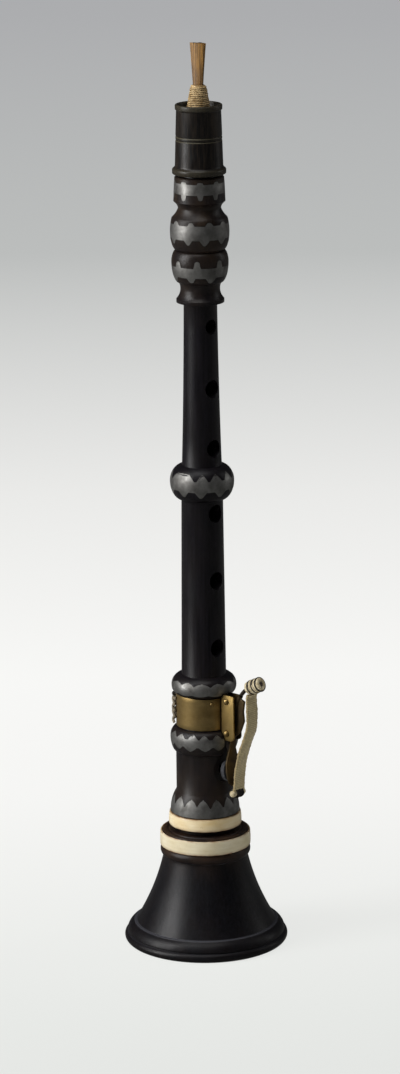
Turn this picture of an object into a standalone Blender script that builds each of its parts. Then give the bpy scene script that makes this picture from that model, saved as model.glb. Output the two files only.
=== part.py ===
"""A bombarde: a turned black wood shawm that stands on its bell.

Metres, +Z up. The origin is the middle of the bell's foot, on the axis of the bore.
The finger holes face -Y. An azimuth of 0 is -Y, and azimuths grow towards +X.
"""

from math import acos, asin, atan2, ceil, cos, degrees, hypot, pi, radians, sin, sqrt

import bmesh
import bpy
from mathutils import Matrix, Vector

# Gaps and roundness
GAP = 0.0003
SEGMENTS = 28
BELL_SEGMENTS = 36
SMALL_SEGMENTS = 16
BEAD_STEPS = 4
SHARP_ANGLE = radians(35)
OVERSHOOT = 0.002

# Bell
BELL_HEIGHT = 0.0500
BELL_FOOT_RADIUS = 0.0341
BELL_FOOT_WIDTH = 0.0024
RIM_BEAD_HEIGHT = 0.0036
RIM_BEAD_SWELL = 0.0011
RIM_BEAD_TOP_RADIUS = 0.0344
RIM_GROOVE_WIDTH = 0.0005
RIM_GROOVE_DEPTH = 0.0005
OVOLO_HEIGHT = 0.0043
OVOLO_TOP_RADIUS = 0.0309
OVOLO_SWELL = 0.0006
CONE_STEP = 0.0006
CONE_TOP_RADIUS = 0.0182
CONE_HOLLOW = 0.0013
BELL_BEAD_HEIGHT = 0.0042
BELL_BEAD_SWELL = 0.0009
LEDGE_RADIUS = 0.0185
LEDGE_ROUNDING = 0.0006
LEDGE_GROOVE_RADIUS = 0.0155
LEDGE_GROOVE_WIDTH = 0.0010
LEDGE_GROOVE_DEPTH = 0.0006
BELL_THROAT_RADIUS = 0.0086
BELL_BORE_HOLLOW = 0.0030
SOCKET_DEPTH = 0.0228

# Bone rings
BELL_RING_HEIGHT = 0.0062
BELL_RING_WALL = 0.0008
BELL_RING_CHAMFER = 0.0004
FOOT_RING_HEIGHT = 0.0054
FOOT_RING_WALL = 0.0024
FOOT_RING_FLARE = 0.0003

# Body, from its tenon in the bell up to its tenon in the cup
FOOT_TENON_RADIUS = 0.0109
FOOT_TENON_LENGTH = 0.0220
FOOT_TENON_LIP = 0.0030
NECK_RADIUS = 0.0130
NECK_LENGTH = 0.0022
FOOT_RADIUS = 0.01485
FOOT_HEIGHT = 0.0096
FOOT_SWELL = 0.0007
LOWER_BODY_RADIUS = 0.01225
LOWER_BODY_LENGTH = 0.0176
LOWER_BEAD_RADIUS = 0.0146
LOWER_BEAD_BELOW = 0.0066
LOWER_BEAD_ABOVE = 0.0044
WAIST_RADIUS = 0.0113
WAIST_LENGTH = 0.0151
UPPER_BEAD_EDGE_RADIUS = 0.0122
UPPER_BEAD_RADIUS = 0.0139
UPPER_BEAD_BELOW = 0.0032
UPPER_BEAD_ABOVE = 0.0049
LOWER_SHAFT_FOOT_RADIUS = 0.00955
LOWER_SHAFT_TOP_RADIUS = 0.00885
LOWER_SHAFT_LENGTH = 0.0771
MIDDLE_BEAD_RADIUS = 0.0136
MIDDLE_BEAD_BELOW = 0.0079
MIDDLE_BEAD_ABOVE = 0.0069
UPPER_SHAFT_FOOT_RADIUS = 0.00845
UPPER_SHAFT_TOP_RADIUS = 0.00705
UPPER_SHAFT_HOLLOW = 0.0002
UPPER_SHAFT_LENGTH = 0.0701
SKIRT_RADIUS = 0.0101
SKIRT_LIP = 0.0014
SKIRT_COVE_HEIGHT = 0.0070
SKIRT_COVE_DEPTH = 0.0011
LOWER_BULB_FOOT_RADIUS = 0.0089
LOWER_BULB_RADIUS = 0.01196
LOWER_BULB_BELOW = 0.0089
LOWER_BULB_ABOVE = 0.0050
BULB_NECK_RADIUS = 0.0099
UPPER_BULB_RADIUS = 0.0124
UPPER_BULB_BELOW = 0.0075
UPPER_BULB_ABOVE = 0.0061
SHOULDER_RADIUS = 0.0117
SHOULDER_SWELL = 0.0002
BARREL_NECK_RADIUS = 0.0090
BARREL_NECK_BELOW = 0.0040
BARREL_NECK_ABOVE = 0.0026
BARREL_NECK_HOLLOW = 0.0003
BARREL_FOOT_RADIUS = 0.0109
BARREL_TOP_RADIUS = 0.0104
BARREL_HEIGHT = 0.0108
BARREL_CHAMFER = 0.0004
CUP_TENON_RADIUS = 0.0076
CUP_TENON_LENGTH = 0.0139
CUP_TENON_LIP = 0.0026

# Bore and holes
BORE_TOP_RADIUS = 0.0023
BORE_FOOT_RADIUS = 0.0074
REED_SOCKET_DEPTH = 0.0200
FINGER_HOLE_RADIUS = 0.0035
TOP_HOLE_RADIUS = 0.0028
HOLES_OVER_MIDDLE_BEAD = (0.0080, 0.0337, 0.0602)
HOLES_UNDER_MIDDLE_BEAD = (0.0053, 0.0347, 0.0643)
KEY_HOLE_RADIUS = 0.0028
KEY_SEAT_RADIUS = 0.0059
KEY_SEAT_DEPTH = 0.00155
KEY_SEAT_ABOVE_FOOT = 0.0113

# Pewter inlays
INLAY_WALL = 0.0009
INLAY_COLUMN = radians(12)
INLAY_ROWS = 2

# Lappings on the tenons
LAPPING_WALL = 0.0006
LAPPING_PROUD = 0.0003

# Cup
CUP_STANDOFF = 0.0010
CUP_FLANGE_RADIUS = 0.0113
CUP_FLANGE_HEIGHT = 0.0025
CUP_FLANGE_CHAMFER = 0.0012
CUP_WALL_FOOT_RADIUS = 0.0101
CUP_WALL_TOP_RADIUS = 0.0094
CUP_RIM_RADIUS = 0.0099
CUP_RIM_HEIGHT = 0.0022
CUP_RIM_WALL = 0.0014
CUP_HEIGHT = 0.0291
CUP_LINE_HEIGHT = 0.0143
CUP_LINE_SPACING = 0.0015
CUP_LINE_WIDTH = 0.0006
CUP_LINE_DEPTH = 0.0003
CUP_LEDGE_RADIUS = 0.0060
CUP_LEDGE_THICKNESS = 0.0020

# Staple and reed
STAPLE_RADIUS = 0.0020
STAPLE_WALL = 0.0005
STAPLE_LENGTH = 0.0360
STAPLE_LAPPING_LENGTH = 0.0150
STAPLE_LAPPING_WALL = 0.0006
STAPLE_LAPPING_INSET = 0.0015
STAPLE_SOCKET_CLEARANCE = 0.0012
BLADE_LENGTH = 0.0242
BLADE_TIP_WIDTH = 0.0066
BLADE_FOOT_WIDTH = 0.0036
BLADE_TIP_THICKNESS = 0.0008
BLADE_FOOT_THICKNESS = 0.0008
BLADE_CROWN = 0.0004
REED_OPENING = 0.0006
REED_AZIMUTH = radians(-66)
BINDING_FOOT_RADIUS = 0.0031
BINDING_BELLY_RADIUS = 0.0041
BINDING_TOP_RADIUS = 0.0028
BINDING_BELLY_HEIGHT = 0.0070
BINDING_HEIGHT = 0.0165
BINDING_OVERLAP = 0.0058
THREAD_RADIUS = 0.00033
THREAD_TURNS = 9
THREAD_PITCH = 0.00112
THREAD_LOOP_POINTS = 18

# Key strap
STRAP_WALL = 0.0005
STRAP_HEIGHT = 0.0143
STRAP_OPENING = radians(22)
STRAP_STEP = radians(12)
LACE_AZIMUTH = radians(-141)
LACE_RADIUS = 0.0006
LACE_CROSSINGS = 4
LACE_HALF_SPAN = radians(19)
LACE_POINTS_PER_CROSSING = 6
KNOT_RADIUS = 0.00095
STRAP_PIN_AZIMUTH = radians(-25)
STRAP_PIN_DROP = 0.0024
PIN_HEAD_RADIUS = 0.0008
PIN_HEAD_HEIGHT = 0.0003
PIN_SHANK_RADIUS = 0.0004
PIN_SHANK_LENGTH = 0.0030

# Key saddle, in the key's own plane
KEY_AZIMUTH = radians(6)
CHEEK_INNER = 0.0018
CHEEK_WALL = 0.0008
CHEEK_REACH = 0.0070
CHEEK_HEIGHT = 0.0201
CHEEK_BELOW_STRAP = 0.0041
CHEEK_ROUNDING = 0.0022
CHEEK_CORNER_STEPS = 4
WEB_WALL = 0.0005
WEB_HEIGHT = 0.0120
PIVOT_REACH = 0.0032
PIVOT_ABOVE_CHEEK_FOOT = 0.0032
RIVET_BELOW_CHEEK_TOP = 0.0027
RIVET_RADIUS = 0.0006
RIVET_CLEARANCE = 0.0001
RIVET_HEAD_RADIUS = 0.00125
RIVET_HEAD_HEIGHT = 0.0007
CHANNEL_FLOOR_RADIUS = 0.0120

# Key lever, touch and spring
HUB_RADIUS = 0.0021
HUB_HALF_WIDTH = 0.0015
KEY_OPENING = radians(9)
PAD_SEAT_CLEARANCE = 0.00015
PAD_RADIUS = 0.0048
PAD_THICKNESS = 0.0020
FLAP_HALF_WIDTH = 0.0046
FLAP_HALF_HEIGHT = 0.0066
FLAP_THICKNESS = 0.0010
FLAP_SQUARENESS = 3.2
FLAP_OUTLINE_POINTS = 28
LOWER_ARM_RADIUS = 0.0012
UPPER_ARM_FOOT_RADIUS = 0.0013
UPPER_ARM_TOP_RADIUS = 0.00105
ARM_ROUTE = ((0.0, 0.0), (0.0014, 0.0072), (0.0034, 0.0128), (0.0061, 0.0174))
ROD_ROUTE = ((0.0064, 0.0179), (0.0082, 0.0199), (0.0100, 0.0213), (0.0119, 0.0222))
ROD_RADIUS = 0.00095
ROD_END_LENGTH = 0.0064
ROUTE_STEP = 0.0012
SPRING_WIDTH = 0.0020
SPRING_WALL = 0.0004
SPRING_LENGTH = 0.0066
SPRING_FOOT_BELOW_PIVOT = 0.0092

# Tape on the key
WRAP_RADIUS = 0.0008
WRAP_TURNS = 3
WRAP_PITCH = 0.0024
WRAP_LOOP_POINTS = 16
TAPE_WIDTH = 0.0066
TAPE_THICKNESS = 0.0009
TAPE_ROUTE = (
    (0.0115, 0.0184),
    (0.0115, 0.0150),
    (0.0117, 0.0098),
    (0.0113, 0.0040),
    (0.0092, -0.0016),
    (0.0067, -0.0079),
    (0.0047, -0.0156),
    (0.0039, -0.0233),
)
TAPE_SPACING = 0.0022
TAPE_CORNER = 0.0002
ROLL_RADIUS = 0.0014
ROLL_HALF_LENGTH = 0.0043
ROLL_DROP = 0.0029
TIE_RADIUS = 0.0004
TIE_TURNS = 3
TIE_PITCH = 0.0013
TIE_LOOP_POINTS = 16
COIL_START = radians(90)

# Heights that follow from the sizes above
BELL_RING_TOP = BELL_HEIGHT - LEDGE_ROUNDING
BELL_BEAD_TOP = BELL_RING_TOP - BELL_RING_HEIGHT - GAP
BELL_BEAD_FOOT = BELL_BEAD_TOP - BELL_BEAD_HEIGHT
BODY_SHOULDER = BELL_HEIGHT + GAP
FOOT_RING_FOOT = BODY_SHOULDER + NECK_LENGTH
FOOT_Z = FOOT_RING_FOOT + FOOT_RING_HEIGHT + GAP
LOWER_BODY_Z = FOOT_Z + FOOT_HEIGHT
LOWER_BEAD_FOOT = LOWER_BODY_Z + LOWER_BODY_LENGTH
LOWER_BEAD_Z = LOWER_BEAD_FOOT + LOWER_BEAD_BELOW
WAIST_Z = LOWER_BEAD_Z + LOWER_BEAD_ABOVE
UPPER_BEAD_FOOT = WAIST_Z + WAIST_LENGTH
UPPER_BEAD_Z = UPPER_BEAD_FOOT + UPPER_BEAD_BELOW
LOWER_SHAFT_Z = UPPER_BEAD_Z + UPPER_BEAD_ABOVE
MIDDLE_BEAD_FOOT = LOWER_SHAFT_Z + LOWER_SHAFT_LENGTH
MIDDLE_BEAD_Z = MIDDLE_BEAD_FOOT + MIDDLE_BEAD_BELOW
UPPER_SHAFT_Z = MIDDLE_BEAD_Z + MIDDLE_BEAD_ABOVE
SKIRT_Z = UPPER_SHAFT_Z + UPPER_SHAFT_LENGTH
COVE_Z = SKIRT_Z + SKIRT_LIP
LOWER_BULB_FOOT = COVE_Z + SKIRT_COVE_HEIGHT
LOWER_BULB_Z = LOWER_BULB_FOOT + LOWER_BULB_BELOW
BULB_NECK_Z = LOWER_BULB_Z + LOWER_BULB_ABOVE
UPPER_BULB_Z = BULB_NECK_Z + UPPER_BULB_BELOW
SHOULDER_Z = UPPER_BULB_Z + UPPER_BULB_ABOVE
BARREL_NECK_Z = SHOULDER_Z + BARREL_NECK_BELOW
BARREL_Z = BARREL_NECK_Z + BARREL_NECK_ABOVE
BARREL_TOP = BARREL_Z + BARREL_HEIGHT
CUP_TENON_TOP = BARREL_TOP + CUP_TENON_LENGTH
CUP_FOOT = BARREL_TOP + CUP_STANDOFF
CUP_TOP = CUP_FOOT + CUP_HEIGHT
BODY_FOOT = BODY_SHOULDER - FOOT_TENON_LENGTH
REED_SOCKET_Z = CUP_TENON_TOP - REED_SOCKET_DEPTH
STAPLE_FOOT = REED_SOCKET_Z + STAPLE_SOCKET_CLEARANCE
STAPLE_TOP = STAPLE_FOOT + STAPLE_LENGTH
REED_FOOT = STAPLE_TOP + GAP
BINDING_TOP = REED_FOOT + BINDING_OVERLAP
BINDING_FOOT = BINDING_TOP - BINDING_HEIGHT
STRAP_FOOT = WAIST_Z + (WAIST_LENGTH - STRAP_HEIGHT) / 2
STRAP_TOP = STRAP_FOOT + STRAP_HEIGHT
KEY_SEAT_Z = LOWER_BODY_Z + KEY_SEAT_ABOVE_FOOT

# Radii that follow from the sizes above
LAPPING_DEPTH = LAPPING_WALL + GAP - LAPPING_PROUD
SOCKET_RADIUS = FOOT_TENON_RADIUS + LAPPING_PROUD + GAP
CUP_SOCKET_RADIUS = CUP_TENON_RADIUS + LAPPING_PROUD + GAP
STAPLE_LAPPING_RADIUS = STAPLE_RADIUS + GAP + STAPLE_LAPPING_WALL
REED_SOCKET_RADIUS = STAPLE_LAPPING_RADIUS + GAP
BELL_RING_INNER = LEDGE_RADIUS + GAP
BELL_RING_RADIUS = BELL_RING_INNER + BELL_RING_WALL
FOOT_RING_INNER = NECK_RADIUS + GAP
FOOT_RING_RADIUS = FOOT_RING_INNER + FOOT_RING_WALL
STRAP_INNER = WAIST_RADIUS + GAP
STRAP_RADIUS = STRAP_INNER + STRAP_WALL
WEB_INNER = STRAP_RADIUS + GAP
WEB_OUTER = WEB_INNER + WEB_WALL
CHEEK_OUTER = CHEEK_INNER + CHEEK_WALL
CHANNEL_HALF_WIDTH = CHEEK_OUTER + GAP
KEY_SEAT_REACH = LOWER_BODY_RADIUS - KEY_SEAT_DEPTH
CHEEK_FOOT = STRAP_FOOT - CHEEK_BELOW_STRAP
CHEEK_TOP = CHEEK_FOOT + CHEEK_HEIGHT
PIVOT_RADIUS = WEB_INNER + PIVOT_REACH - GAP
PIVOT_Z = CHEEK_FOOT + PIVOT_ABOVE_CHEEK_FOOT
RIVET_Z = CHEEK_TOP - RIVET_BELOW_CHEEK_TOP
RIVET_HALF_LENGTH = CHEEK_OUTER + GAP

# Colour, roughness and how metallic each material is
MATERIALS = {
    "blackwood": ((0.018, 0.015, 0.016), 0.38, 0.0),
    "horn": ((0.040, 0.030, 0.022), 0.45, 0.0),
    "bone": ((0.720, 0.620, 0.420), 0.42, 0.0),
    "pewter": ((0.300, 0.300, 0.300), 0.38, 0.9),
    "brass": ((0.350, 0.250, 0.080), 0.40, 0.9),
    "dark_brass": ((0.110, 0.085, 0.045), 0.45, 0.8),
    "steel": ((0.060, 0.055, 0.050), 0.50, 0.8),
    "leather": ((0.180, 0.100, 0.055), 0.80, 0.0),
    "tape": ((0.560, 0.500, 0.360), 0.90, 0.0),
    "dark_thread": ((0.035, 0.028, 0.020), 0.85, 0.0),
    "thread": ((0.640, 0.520, 0.300), 0.85, 0.0),
    "cane": ((0.500, 0.310, 0.110), 0.60, 0.0),
}


def outward(azimuth):
    """The direction that points straight out from the axis at this azimuth."""
    return Vector((sin(azimuth), -cos(azimuth), 0))


def sideways(azimuth):
    """The direction of growing azimuth, square to outward."""
    return Vector((cos(azimuth), sin(azimuth), 0))


def clear_scene():
    for old in list(bpy.data.objects):
        bpy.data.objects.remove(old, do_unlink=True)


def material(slot):
    """The material of this name, made the first time that a piece asks for it."""
    found = bpy.data.materials.get(slot)
    if found:
        return found
    colour, roughness, metallic = MATERIALS[slot]
    made = bpy.data.materials.new(slot)
    made.use_nodes = True
    surface = made.node_tree.nodes["Principled BSDF"]
    surface.inputs["Base Color"].default_value = (*colour, 1)
    surface.inputs["Roughness"].default_value = roughness
    surface.inputs["Metallic"].default_value = metallic
    made.diffuse_color = (*colour, 1)
    return made


def place_object(name, data, slot):
    """An object that holds this data, with its material, in the scene."""
    made = bpy.data.objects.new(name, data)
    bpy.context.scene.collection.objects.link(made)
    if slot:
        data.materials.append(material(slot))
    return made


def from_bmesh(name, bm, slot):
    """An object from a closed bmesh, with its faces turned out and its round stretches smooth."""
    bmesh.ops.recalc_face_normals(bm, faces=bm.faces)
    mesh = bpy.data.meshes.new(name)
    bm.to_mesh(mesh)
    bm.free()
    mesh.shade_smooth()
    mesh.set_sharp_from_angle(angle=SHARP_ANGLE)
    return place_object(name, mesh, slot)


def as_cutter(made):
    made.hide_render = True
    made.display_type = "WIRE"
    return made


def cut(piece, *cutters):
    for cutter in cutters:
        modifier = piece.modifiers.new(cutter.name, "BOOLEAN")
        modifier.operation = "DIFFERENCE"
        modifier.object = cutter


def join(piece, *others):
    """Unites the piece with helpers, which the build then leaves out."""
    for other in others:
        as_cutter(other)
        modifier = piece.modifiers.new(other.name, "BOOLEAN")
        modifier.operation = "UNION"
        modifier.object = other


def arc(start, end, swell, steps):
    """Points after start up to end on a circular arc that swells away from the axis, or towards it."""
    run, rise = end[0] - start[0], end[1] - start[1]
    chord = hypot(run, rise)
    out = (rise / chord, -run / chord) if rise > 0 else (-rise / chord, run / chord)
    radius = (chord**2 / 4 + swell**2) / (2 * abs(swell))
    half = asin(min(1, chord / 2 / radius))
    points = []
    for step in range(1, steps + 1):
        angle = half * (2 * step / steps - 1)
        along = 0.5 + radius * sin(angle) / chord
        off = (radius * cos(angle) - radius * cos(half)) * (1 if swell > 0 else -1)
        points.append((start[0] + run * along + out[0] * off, start[1] + rise * along + out[1] * off))
    return points


def quarter(neck_radius, neck_z, radius, z):
    """Points of a quarter ellipse from a neck, square to the axis, to a bead's widest place."""
    points = []
    for step in range(1, BEAD_STEPS + 1):
        angle = pi / 2 * step / BEAD_STEPS
        points.append((neck_radius + (radius - neck_radius) * sin(angle), z + (neck_z - z) * cos(angle)))
    return points


def bead_under(neck_radius, neck_z, radius, z):
    return quarter(neck_radius, neck_z, radius, z)


def bead_over(radius, z, neck_radius, neck_z):
    return quarter(neck_radius, neck_z, radius, z)[-2::-1] + [(neck_radius, neck_z)]


def radius_at(outline, z):
    """The outline's radius at a height where it has one."""
    for (r0, z0), (r1, z1) in zip(outline, outline[1:]):
        if z0 <= z <= z1 and z1 > z0:
            return r0 + (r1 - r0) * (z - z0) / (z1 - z0)
    raise ValueError(f"the outline has no radius at {z}")


def with_groove(outline, low, high, depth, open_below=False):
    """The outline with a turned groove between two heights."""
    r_low, r_high = radius_at(outline, low), radius_at(outline, high)
    floor = [(r_low - depth, low), (r_high - depth, high), (r_high, high)]
    if open_below:
        below = [p for p in outline if p[1] < low]
    else:
        below = [p for p in outline if p[1] <= low]
        floor.insert(0, (r_low, low))
    return below + floor + [p for p in outline if p[1] > high]


def turned(name, outline, slot, segments=SEGMENTS):
    """A closed outline of (radius, height) points spun round the axis. Points on the axis become poles."""
    bm = bmesh.new()
    points = [bm.verts.new((r, 0, z)) for r, z in outline]
    edges = [bm.edges.new(pair) for pair in zip(points, points[1:])]
    if all(r > 0 for r, _ in outline):
        edges.append(bm.edges.new((points[-1], points[0])))
    bmesh.ops.spin(
        bm,
        geom=points + edges,
        cent=(0, 0, 0),
        axis=(0, 0, 1),
        angle=2 * pi,
        steps=segments,
        use_merge=True,
    )
    poles = [v for v in bm.verts if hypot(v.co.x, v.co.y) < GAP / 10]
    bmesh.ops.remove_doubles(bm, verts=poles, dist=GAP / 10)
    return from_bmesh(name, bm, slot)


def swept(name, sections, slot, closed=False):
    """Sections of equally many points, joined in order into one closed solid."""
    bm = bmesh.new()
    rings = [[bm.verts.new(p) for p in section] for section in sections]
    pairs = list(zip(rings, rings[1:]))
    if closed:
        pairs.append((rings[-1], rings[0]))
    for a, b in pairs:
        for i in range(len(a)):
            j = (i + 1) % len(a)
            bm.faces.new((a[i], a[j], b[j], b[i]))
    if not closed:
        bm.faces.new(rings[0])
        bm.faces.new(rings[-1])
    return from_bmesh(name, bm, slot)


def rod(name, start, end, radius, slot=None, segments=SMALL_SEGMENTS):
    """A cylinder from one point to another."""
    start, end = Vector(start), Vector(end)
    bm = bmesh.new()
    bmesh.ops.create_cone(
        bm,
        cap_ends=True,
        segments=segments,
        radius1=radius,
        radius2=radius,
        depth=(end - start).length,
    )
    turn = (end - start).to_track_quat("Z", "Y").to_matrix().to_4x4()
    bmesh.ops.transform(bm, matrix=Matrix.Translation((start + end) / 2) @ turn, verts=bm.verts)
    return from_bmesh(name, bm, slot)


def tube(name, points, radius, slot, radii=None, resolution=1):
    """A round tube along points, with filled ends."""
    curve = bpy.data.curves.new(name, "CURVE")
    curve.dimensions = "3D"
    curve.bevel_depth = radius
    curve.bevel_resolution = resolution
    curve.use_fill_caps = True
    spline = curve.splines.new("POLY")
    spline.points.add(len(points) - 1)
    for i, (spot, point) in enumerate(zip(spline.points, points)):
        spot.co = (*point, 1)
        spot.radius = radii[i] / radius if radii else 1
    return place_object(name, curve, slot)


def smooth_route(points, step):
    """Points about step apart on a smooth curve through a route's own points."""
    points = [Vector(p) for p in points]
    ends = [2 * points[0] - points[1], *points, 2 * points[-1] - points[-2]]
    route = [points[0]]
    for a, b, c, d in zip(ends, ends[1:], ends[2:], ends[3:]):
        pieces = max(1, ceil((c - b).length / step))
        for i in range(1, pieces + 1):
            t = i / pieces
            route.append(
                0.5 * (2 * b + (c - a) * t + (2 * a - 5 * b + 4 * c - d) * t**2 + (3 * b - a - 3 * c + d) * t**3)
            )
    return route


def coil(start, direction, first_side, radius_along, pitch, turns, loop_points, lead):
    """A winding round a straight axis, with a straight lead at each end.

    radius_along gives the winding's radius at a distance along the axis.
    """
    axis = Vector(direction).normalized()
    side = Vector(first_side).normalized()
    other = axis.cross(side)
    points = []
    for i in range(turns * loop_points + 1):
        angle = 2 * pi * i / loop_points + COIL_START
        along = pitch * i / loop_points
        reach = radius_along(along)
        points.append(Vector(start) + axis * along + (side * cos(angle) + other * sin(angle)) * reach)
    first = (points[0] - points[1]).normalized() * lead
    last = (points[-1] - points[-2]).normalized() * lead
    return [points[0] + first, *points, points[-1] + last]


def print_least_gap(name, points, radius, loop_points):
    """Prints how near a winding's turns come to each other."""
    least = min(
        (a - b).length
        for i, a in enumerate(points)
        for b in points[i + loop_points // 2 :]
    )
    print(f"{name}: least gap to itself {(least - 2 * radius) * 1000:.2f} mm")


def key_place(out, up, beside=0.0):
    """A world point from the key's own plane: distances from the hinge, out, up and beside."""
    return (
        outward(KEY_AZIMUTH) * (PIVOT_RADIUS + out)
        + sideways(KEY_AZIMUTH) * beside
        + Vector((0, 0, PIVOT_Z + up))
    )


def swung_open(out, up):
    """Where a point of the closed key stands once the key has opened."""
    c, s = cos(KEY_OPENING), sin(KEY_OPENING)
    return out * c - up * s, out * s + up * c


def put_on_key(piece, hinge):
    """Hands a piece that was made in world places to the hinge, with its origin on the hinge's axis."""
    to_local = hinge.matrix_world.inverted()
    piece.data.transform(to_local)
    piece.parent = hinge
    return piece


def extruded(name, outline, half_width, slot):
    """An outline of (out, up) points in the key's plane, made thick sideways."""
    sections = [[key_place(out, up, beside) for out, up in outline] for beside in (-half_width, half_width)]
    return swept(name, sections, slot)


def body_outline():
    """The body's outer side from its foot to its top, without the grooves for the inlays."""
    points = [(FOOT_TENON_RADIUS, BODY_FOOT), (FOOT_TENON_RADIUS, BODY_SHOULDER)]
    points += [(NECK_RADIUS, BODY_SHOULDER), (NECK_RADIUS, FOOT_Z), (FOOT_RADIUS, FOOT_Z)]
    points += arc((FOOT_RADIUS, FOOT_Z), (LOWER_BODY_RADIUS, LOWER_BODY_Z), FOOT_SWELL, BEAD_STEPS)
    points += [(LOWER_BODY_RADIUS, LOWER_BEAD_FOOT)]
    points += bead_under(LOWER_BODY_RADIUS, LOWER_BEAD_FOOT, LOWER_BEAD_RADIUS, LOWER_BEAD_Z)
    points += bead_over(LOWER_BEAD_RADIUS, LOWER_BEAD_Z, WAIST_RADIUS, WAIST_Z)
    points += [(WAIST_RADIUS, UPPER_BEAD_FOOT), (UPPER_BEAD_EDGE_RADIUS, UPPER_BEAD_FOOT)]
    points += bead_under(UPPER_BEAD_EDGE_RADIUS, UPPER_BEAD_FOOT, UPPER_BEAD_RADIUS, UPPER_BEAD_Z)
    points += bead_over(UPPER_BEAD_RADIUS, UPPER_BEAD_Z, LOWER_SHAFT_FOOT_RADIUS, LOWER_SHAFT_Z)
    points += [(LOWER_SHAFT_TOP_RADIUS, MIDDLE_BEAD_FOOT)]
    points += bead_under(LOWER_SHAFT_TOP_RADIUS, MIDDLE_BEAD_FOOT, MIDDLE_BEAD_RADIUS, MIDDLE_BEAD_Z)
    points += bead_over(MIDDLE_BEAD_RADIUS, MIDDLE_BEAD_Z, UPPER_SHAFT_FOOT_RADIUS, UPPER_SHAFT_Z)
    points += arc(points[-1], (UPPER_SHAFT_TOP_RADIUS, SKIRT_Z), -UPPER_SHAFT_HOLLOW, 3)
    points += [(SKIRT_RADIUS, SKIRT_Z), (SKIRT_RADIUS, COVE_Z)]
    points += arc(points[-1], (LOWER_BULB_FOOT_RADIUS, LOWER_BULB_FOOT), -SKIRT_COVE_DEPTH, BEAD_STEPS)
    points += bead_under(LOWER_BULB_FOOT_RADIUS, LOWER_BULB_FOOT, LOWER_BULB_RADIUS, LOWER_BULB_Z)
    points += bead_over(LOWER_BULB_RADIUS, LOWER_BULB_Z, BULB_NECK_RADIUS, BULB_NECK_Z)
    points += bead_under(BULB_NECK_RADIUS, BULB_NECK_Z, UPPER_BULB_RADIUS, UPPER_BULB_Z)
    points += arc(points[-1], (SHOULDER_RADIUS, SHOULDER_Z), SHOULDER_SWELL, 3)
    points += arc(points[-1], (BARREL_NECK_RADIUS, BARREL_NECK_Z), -BARREL_NECK_HOLLOW, 3)
    points += arc(points[-1], (BARREL_FOOT_RADIUS - BARREL_CHAMFER, BARREL_Z), -BARREL_NECK_HOLLOW, 3)
    points += [(BARREL_FOOT_RADIUS, BARREL_Z + BARREL_CHAMFER)]
    points += [(BARREL_TOP_RADIUS, BARREL_TOP - BARREL_CHAMFER)]
    points += [(BARREL_TOP_RADIUS - BARREL_CHAMFER, BARREL_TOP)]
    points += [(CUP_TENON_RADIUS, BARREL_TOP), (CUP_TENON_RADIUS, CUP_TENON_TOP)]
    return points


class Inlay:
    """A toothed pewter ring set into the body: heights of its tips and valleys, and its two rows of teeth."""

    def __init__(self, name, low_tip, low_valley, high_valley, high_tip, low_teeth, high_teeth, open_below=False):
        self.name = name
        self.low_tip = low_tip
        self.low_valley = low_valley
        self.high_valley = high_valley
        self.high_tip = high_tip
        self.low_teeth = low_teeth
        self.high_teeth = high_teeth
        self.open_below = open_below

    def groove(self):
        """The lowest and highest height of the body's groove for it."""
        return (self.low_tip if self.open_below else self.low_tip - GAP), self.high_tip + GAP


class Teeth:
    """A row of equal teeth: how many, the azimuth of one, and its half widths at the root and the tip."""

    def __init__(self, count, azimuth, half_root, half_tip):
        self.pitch = 2 * pi / count
        self.count = count
        self.azimuth = radians(azimuth)
        self.half_root = self.pitch * half_root
        self.half_tip = self.pitch * half_tip

    def corners(self):
        """The azimuths where the row's edge turns."""
        found = []
        for tooth in range(self.count):
            middle = self.azimuth + tooth * self.pitch
            for offset in {-self.half_root, -self.half_tip, self.half_tip, self.half_root}:
                found.append((middle + offset) % (2 * pi))
        return found

    def share(self, azimuth):
        """0 in a valley, 1 on a tip, and between them on a tooth's side."""
        away = abs((azimuth - self.azimuth + self.pitch / 2) % self.pitch - self.pitch / 2)
        if away <= self.half_tip:
            return 1.0
        return max(0.0, (self.half_root - away) / (self.half_root - self.half_tip))


def inlay_columns(inlay):
    """The azimuths of an inlay's columns: every corner of its teeth, and more where they are far apart."""
    corners = sorted(inlay.low_teeth.corners() + inlay.high_teeth.corners())
    kept = [corners[0]]
    for corner in corners[1:]:
        if corner - kept[-1] > radians(1.5) and corner < kept[0] + 2 * pi - radians(1.5):
            kept.append(corner)
    columns = []
    for a, b in zip(kept, kept[1:] + [kept[0] + 2 * pi]):
        pieces = ceil((b - a) / INLAY_COLUMN)
        columns += [a + (b - a) * i / pieces for i in range(pieces)]
    return columns


def make_inlay(inlay, outline):
    """The pewter ring, flush with the body's outline, its back parallel to the groove's floor."""
    back_low = radius_at(outline, inlay.low_tip) - INLAY_WALL
    back_high = radius_at(outline, inlay.high_tip) - INLAY_WALL
    sections = []
    for azimuth in inlay_columns(inlay):
        low = inlay.low_valley + (inlay.low_tip - inlay.low_valley) * inlay.low_teeth.share(azimuth)
        high = inlay.high_valley + (inlay.high_tip - inlay.high_valley) * inlay.high_teeth.share(azimuth)
        rows = [low + (high - low) * i / INLAY_ROWS for i in range(INLAY_ROWS + 1)]
        section = [(radius_at(outline, z), z) for z in rows]
        for z in (high, low):
            share = (z - inlay.low_tip) / (inlay.high_tip - inlay.low_tip)
            section.append((back_low + (back_high - back_low) * share, z))
        out = outward(azimuth)
        sections.append([out * r + Vector((0, 0, z)) for r, z in section])
    return swept(inlay.name, sections, "pewter", closed=True)


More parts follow.
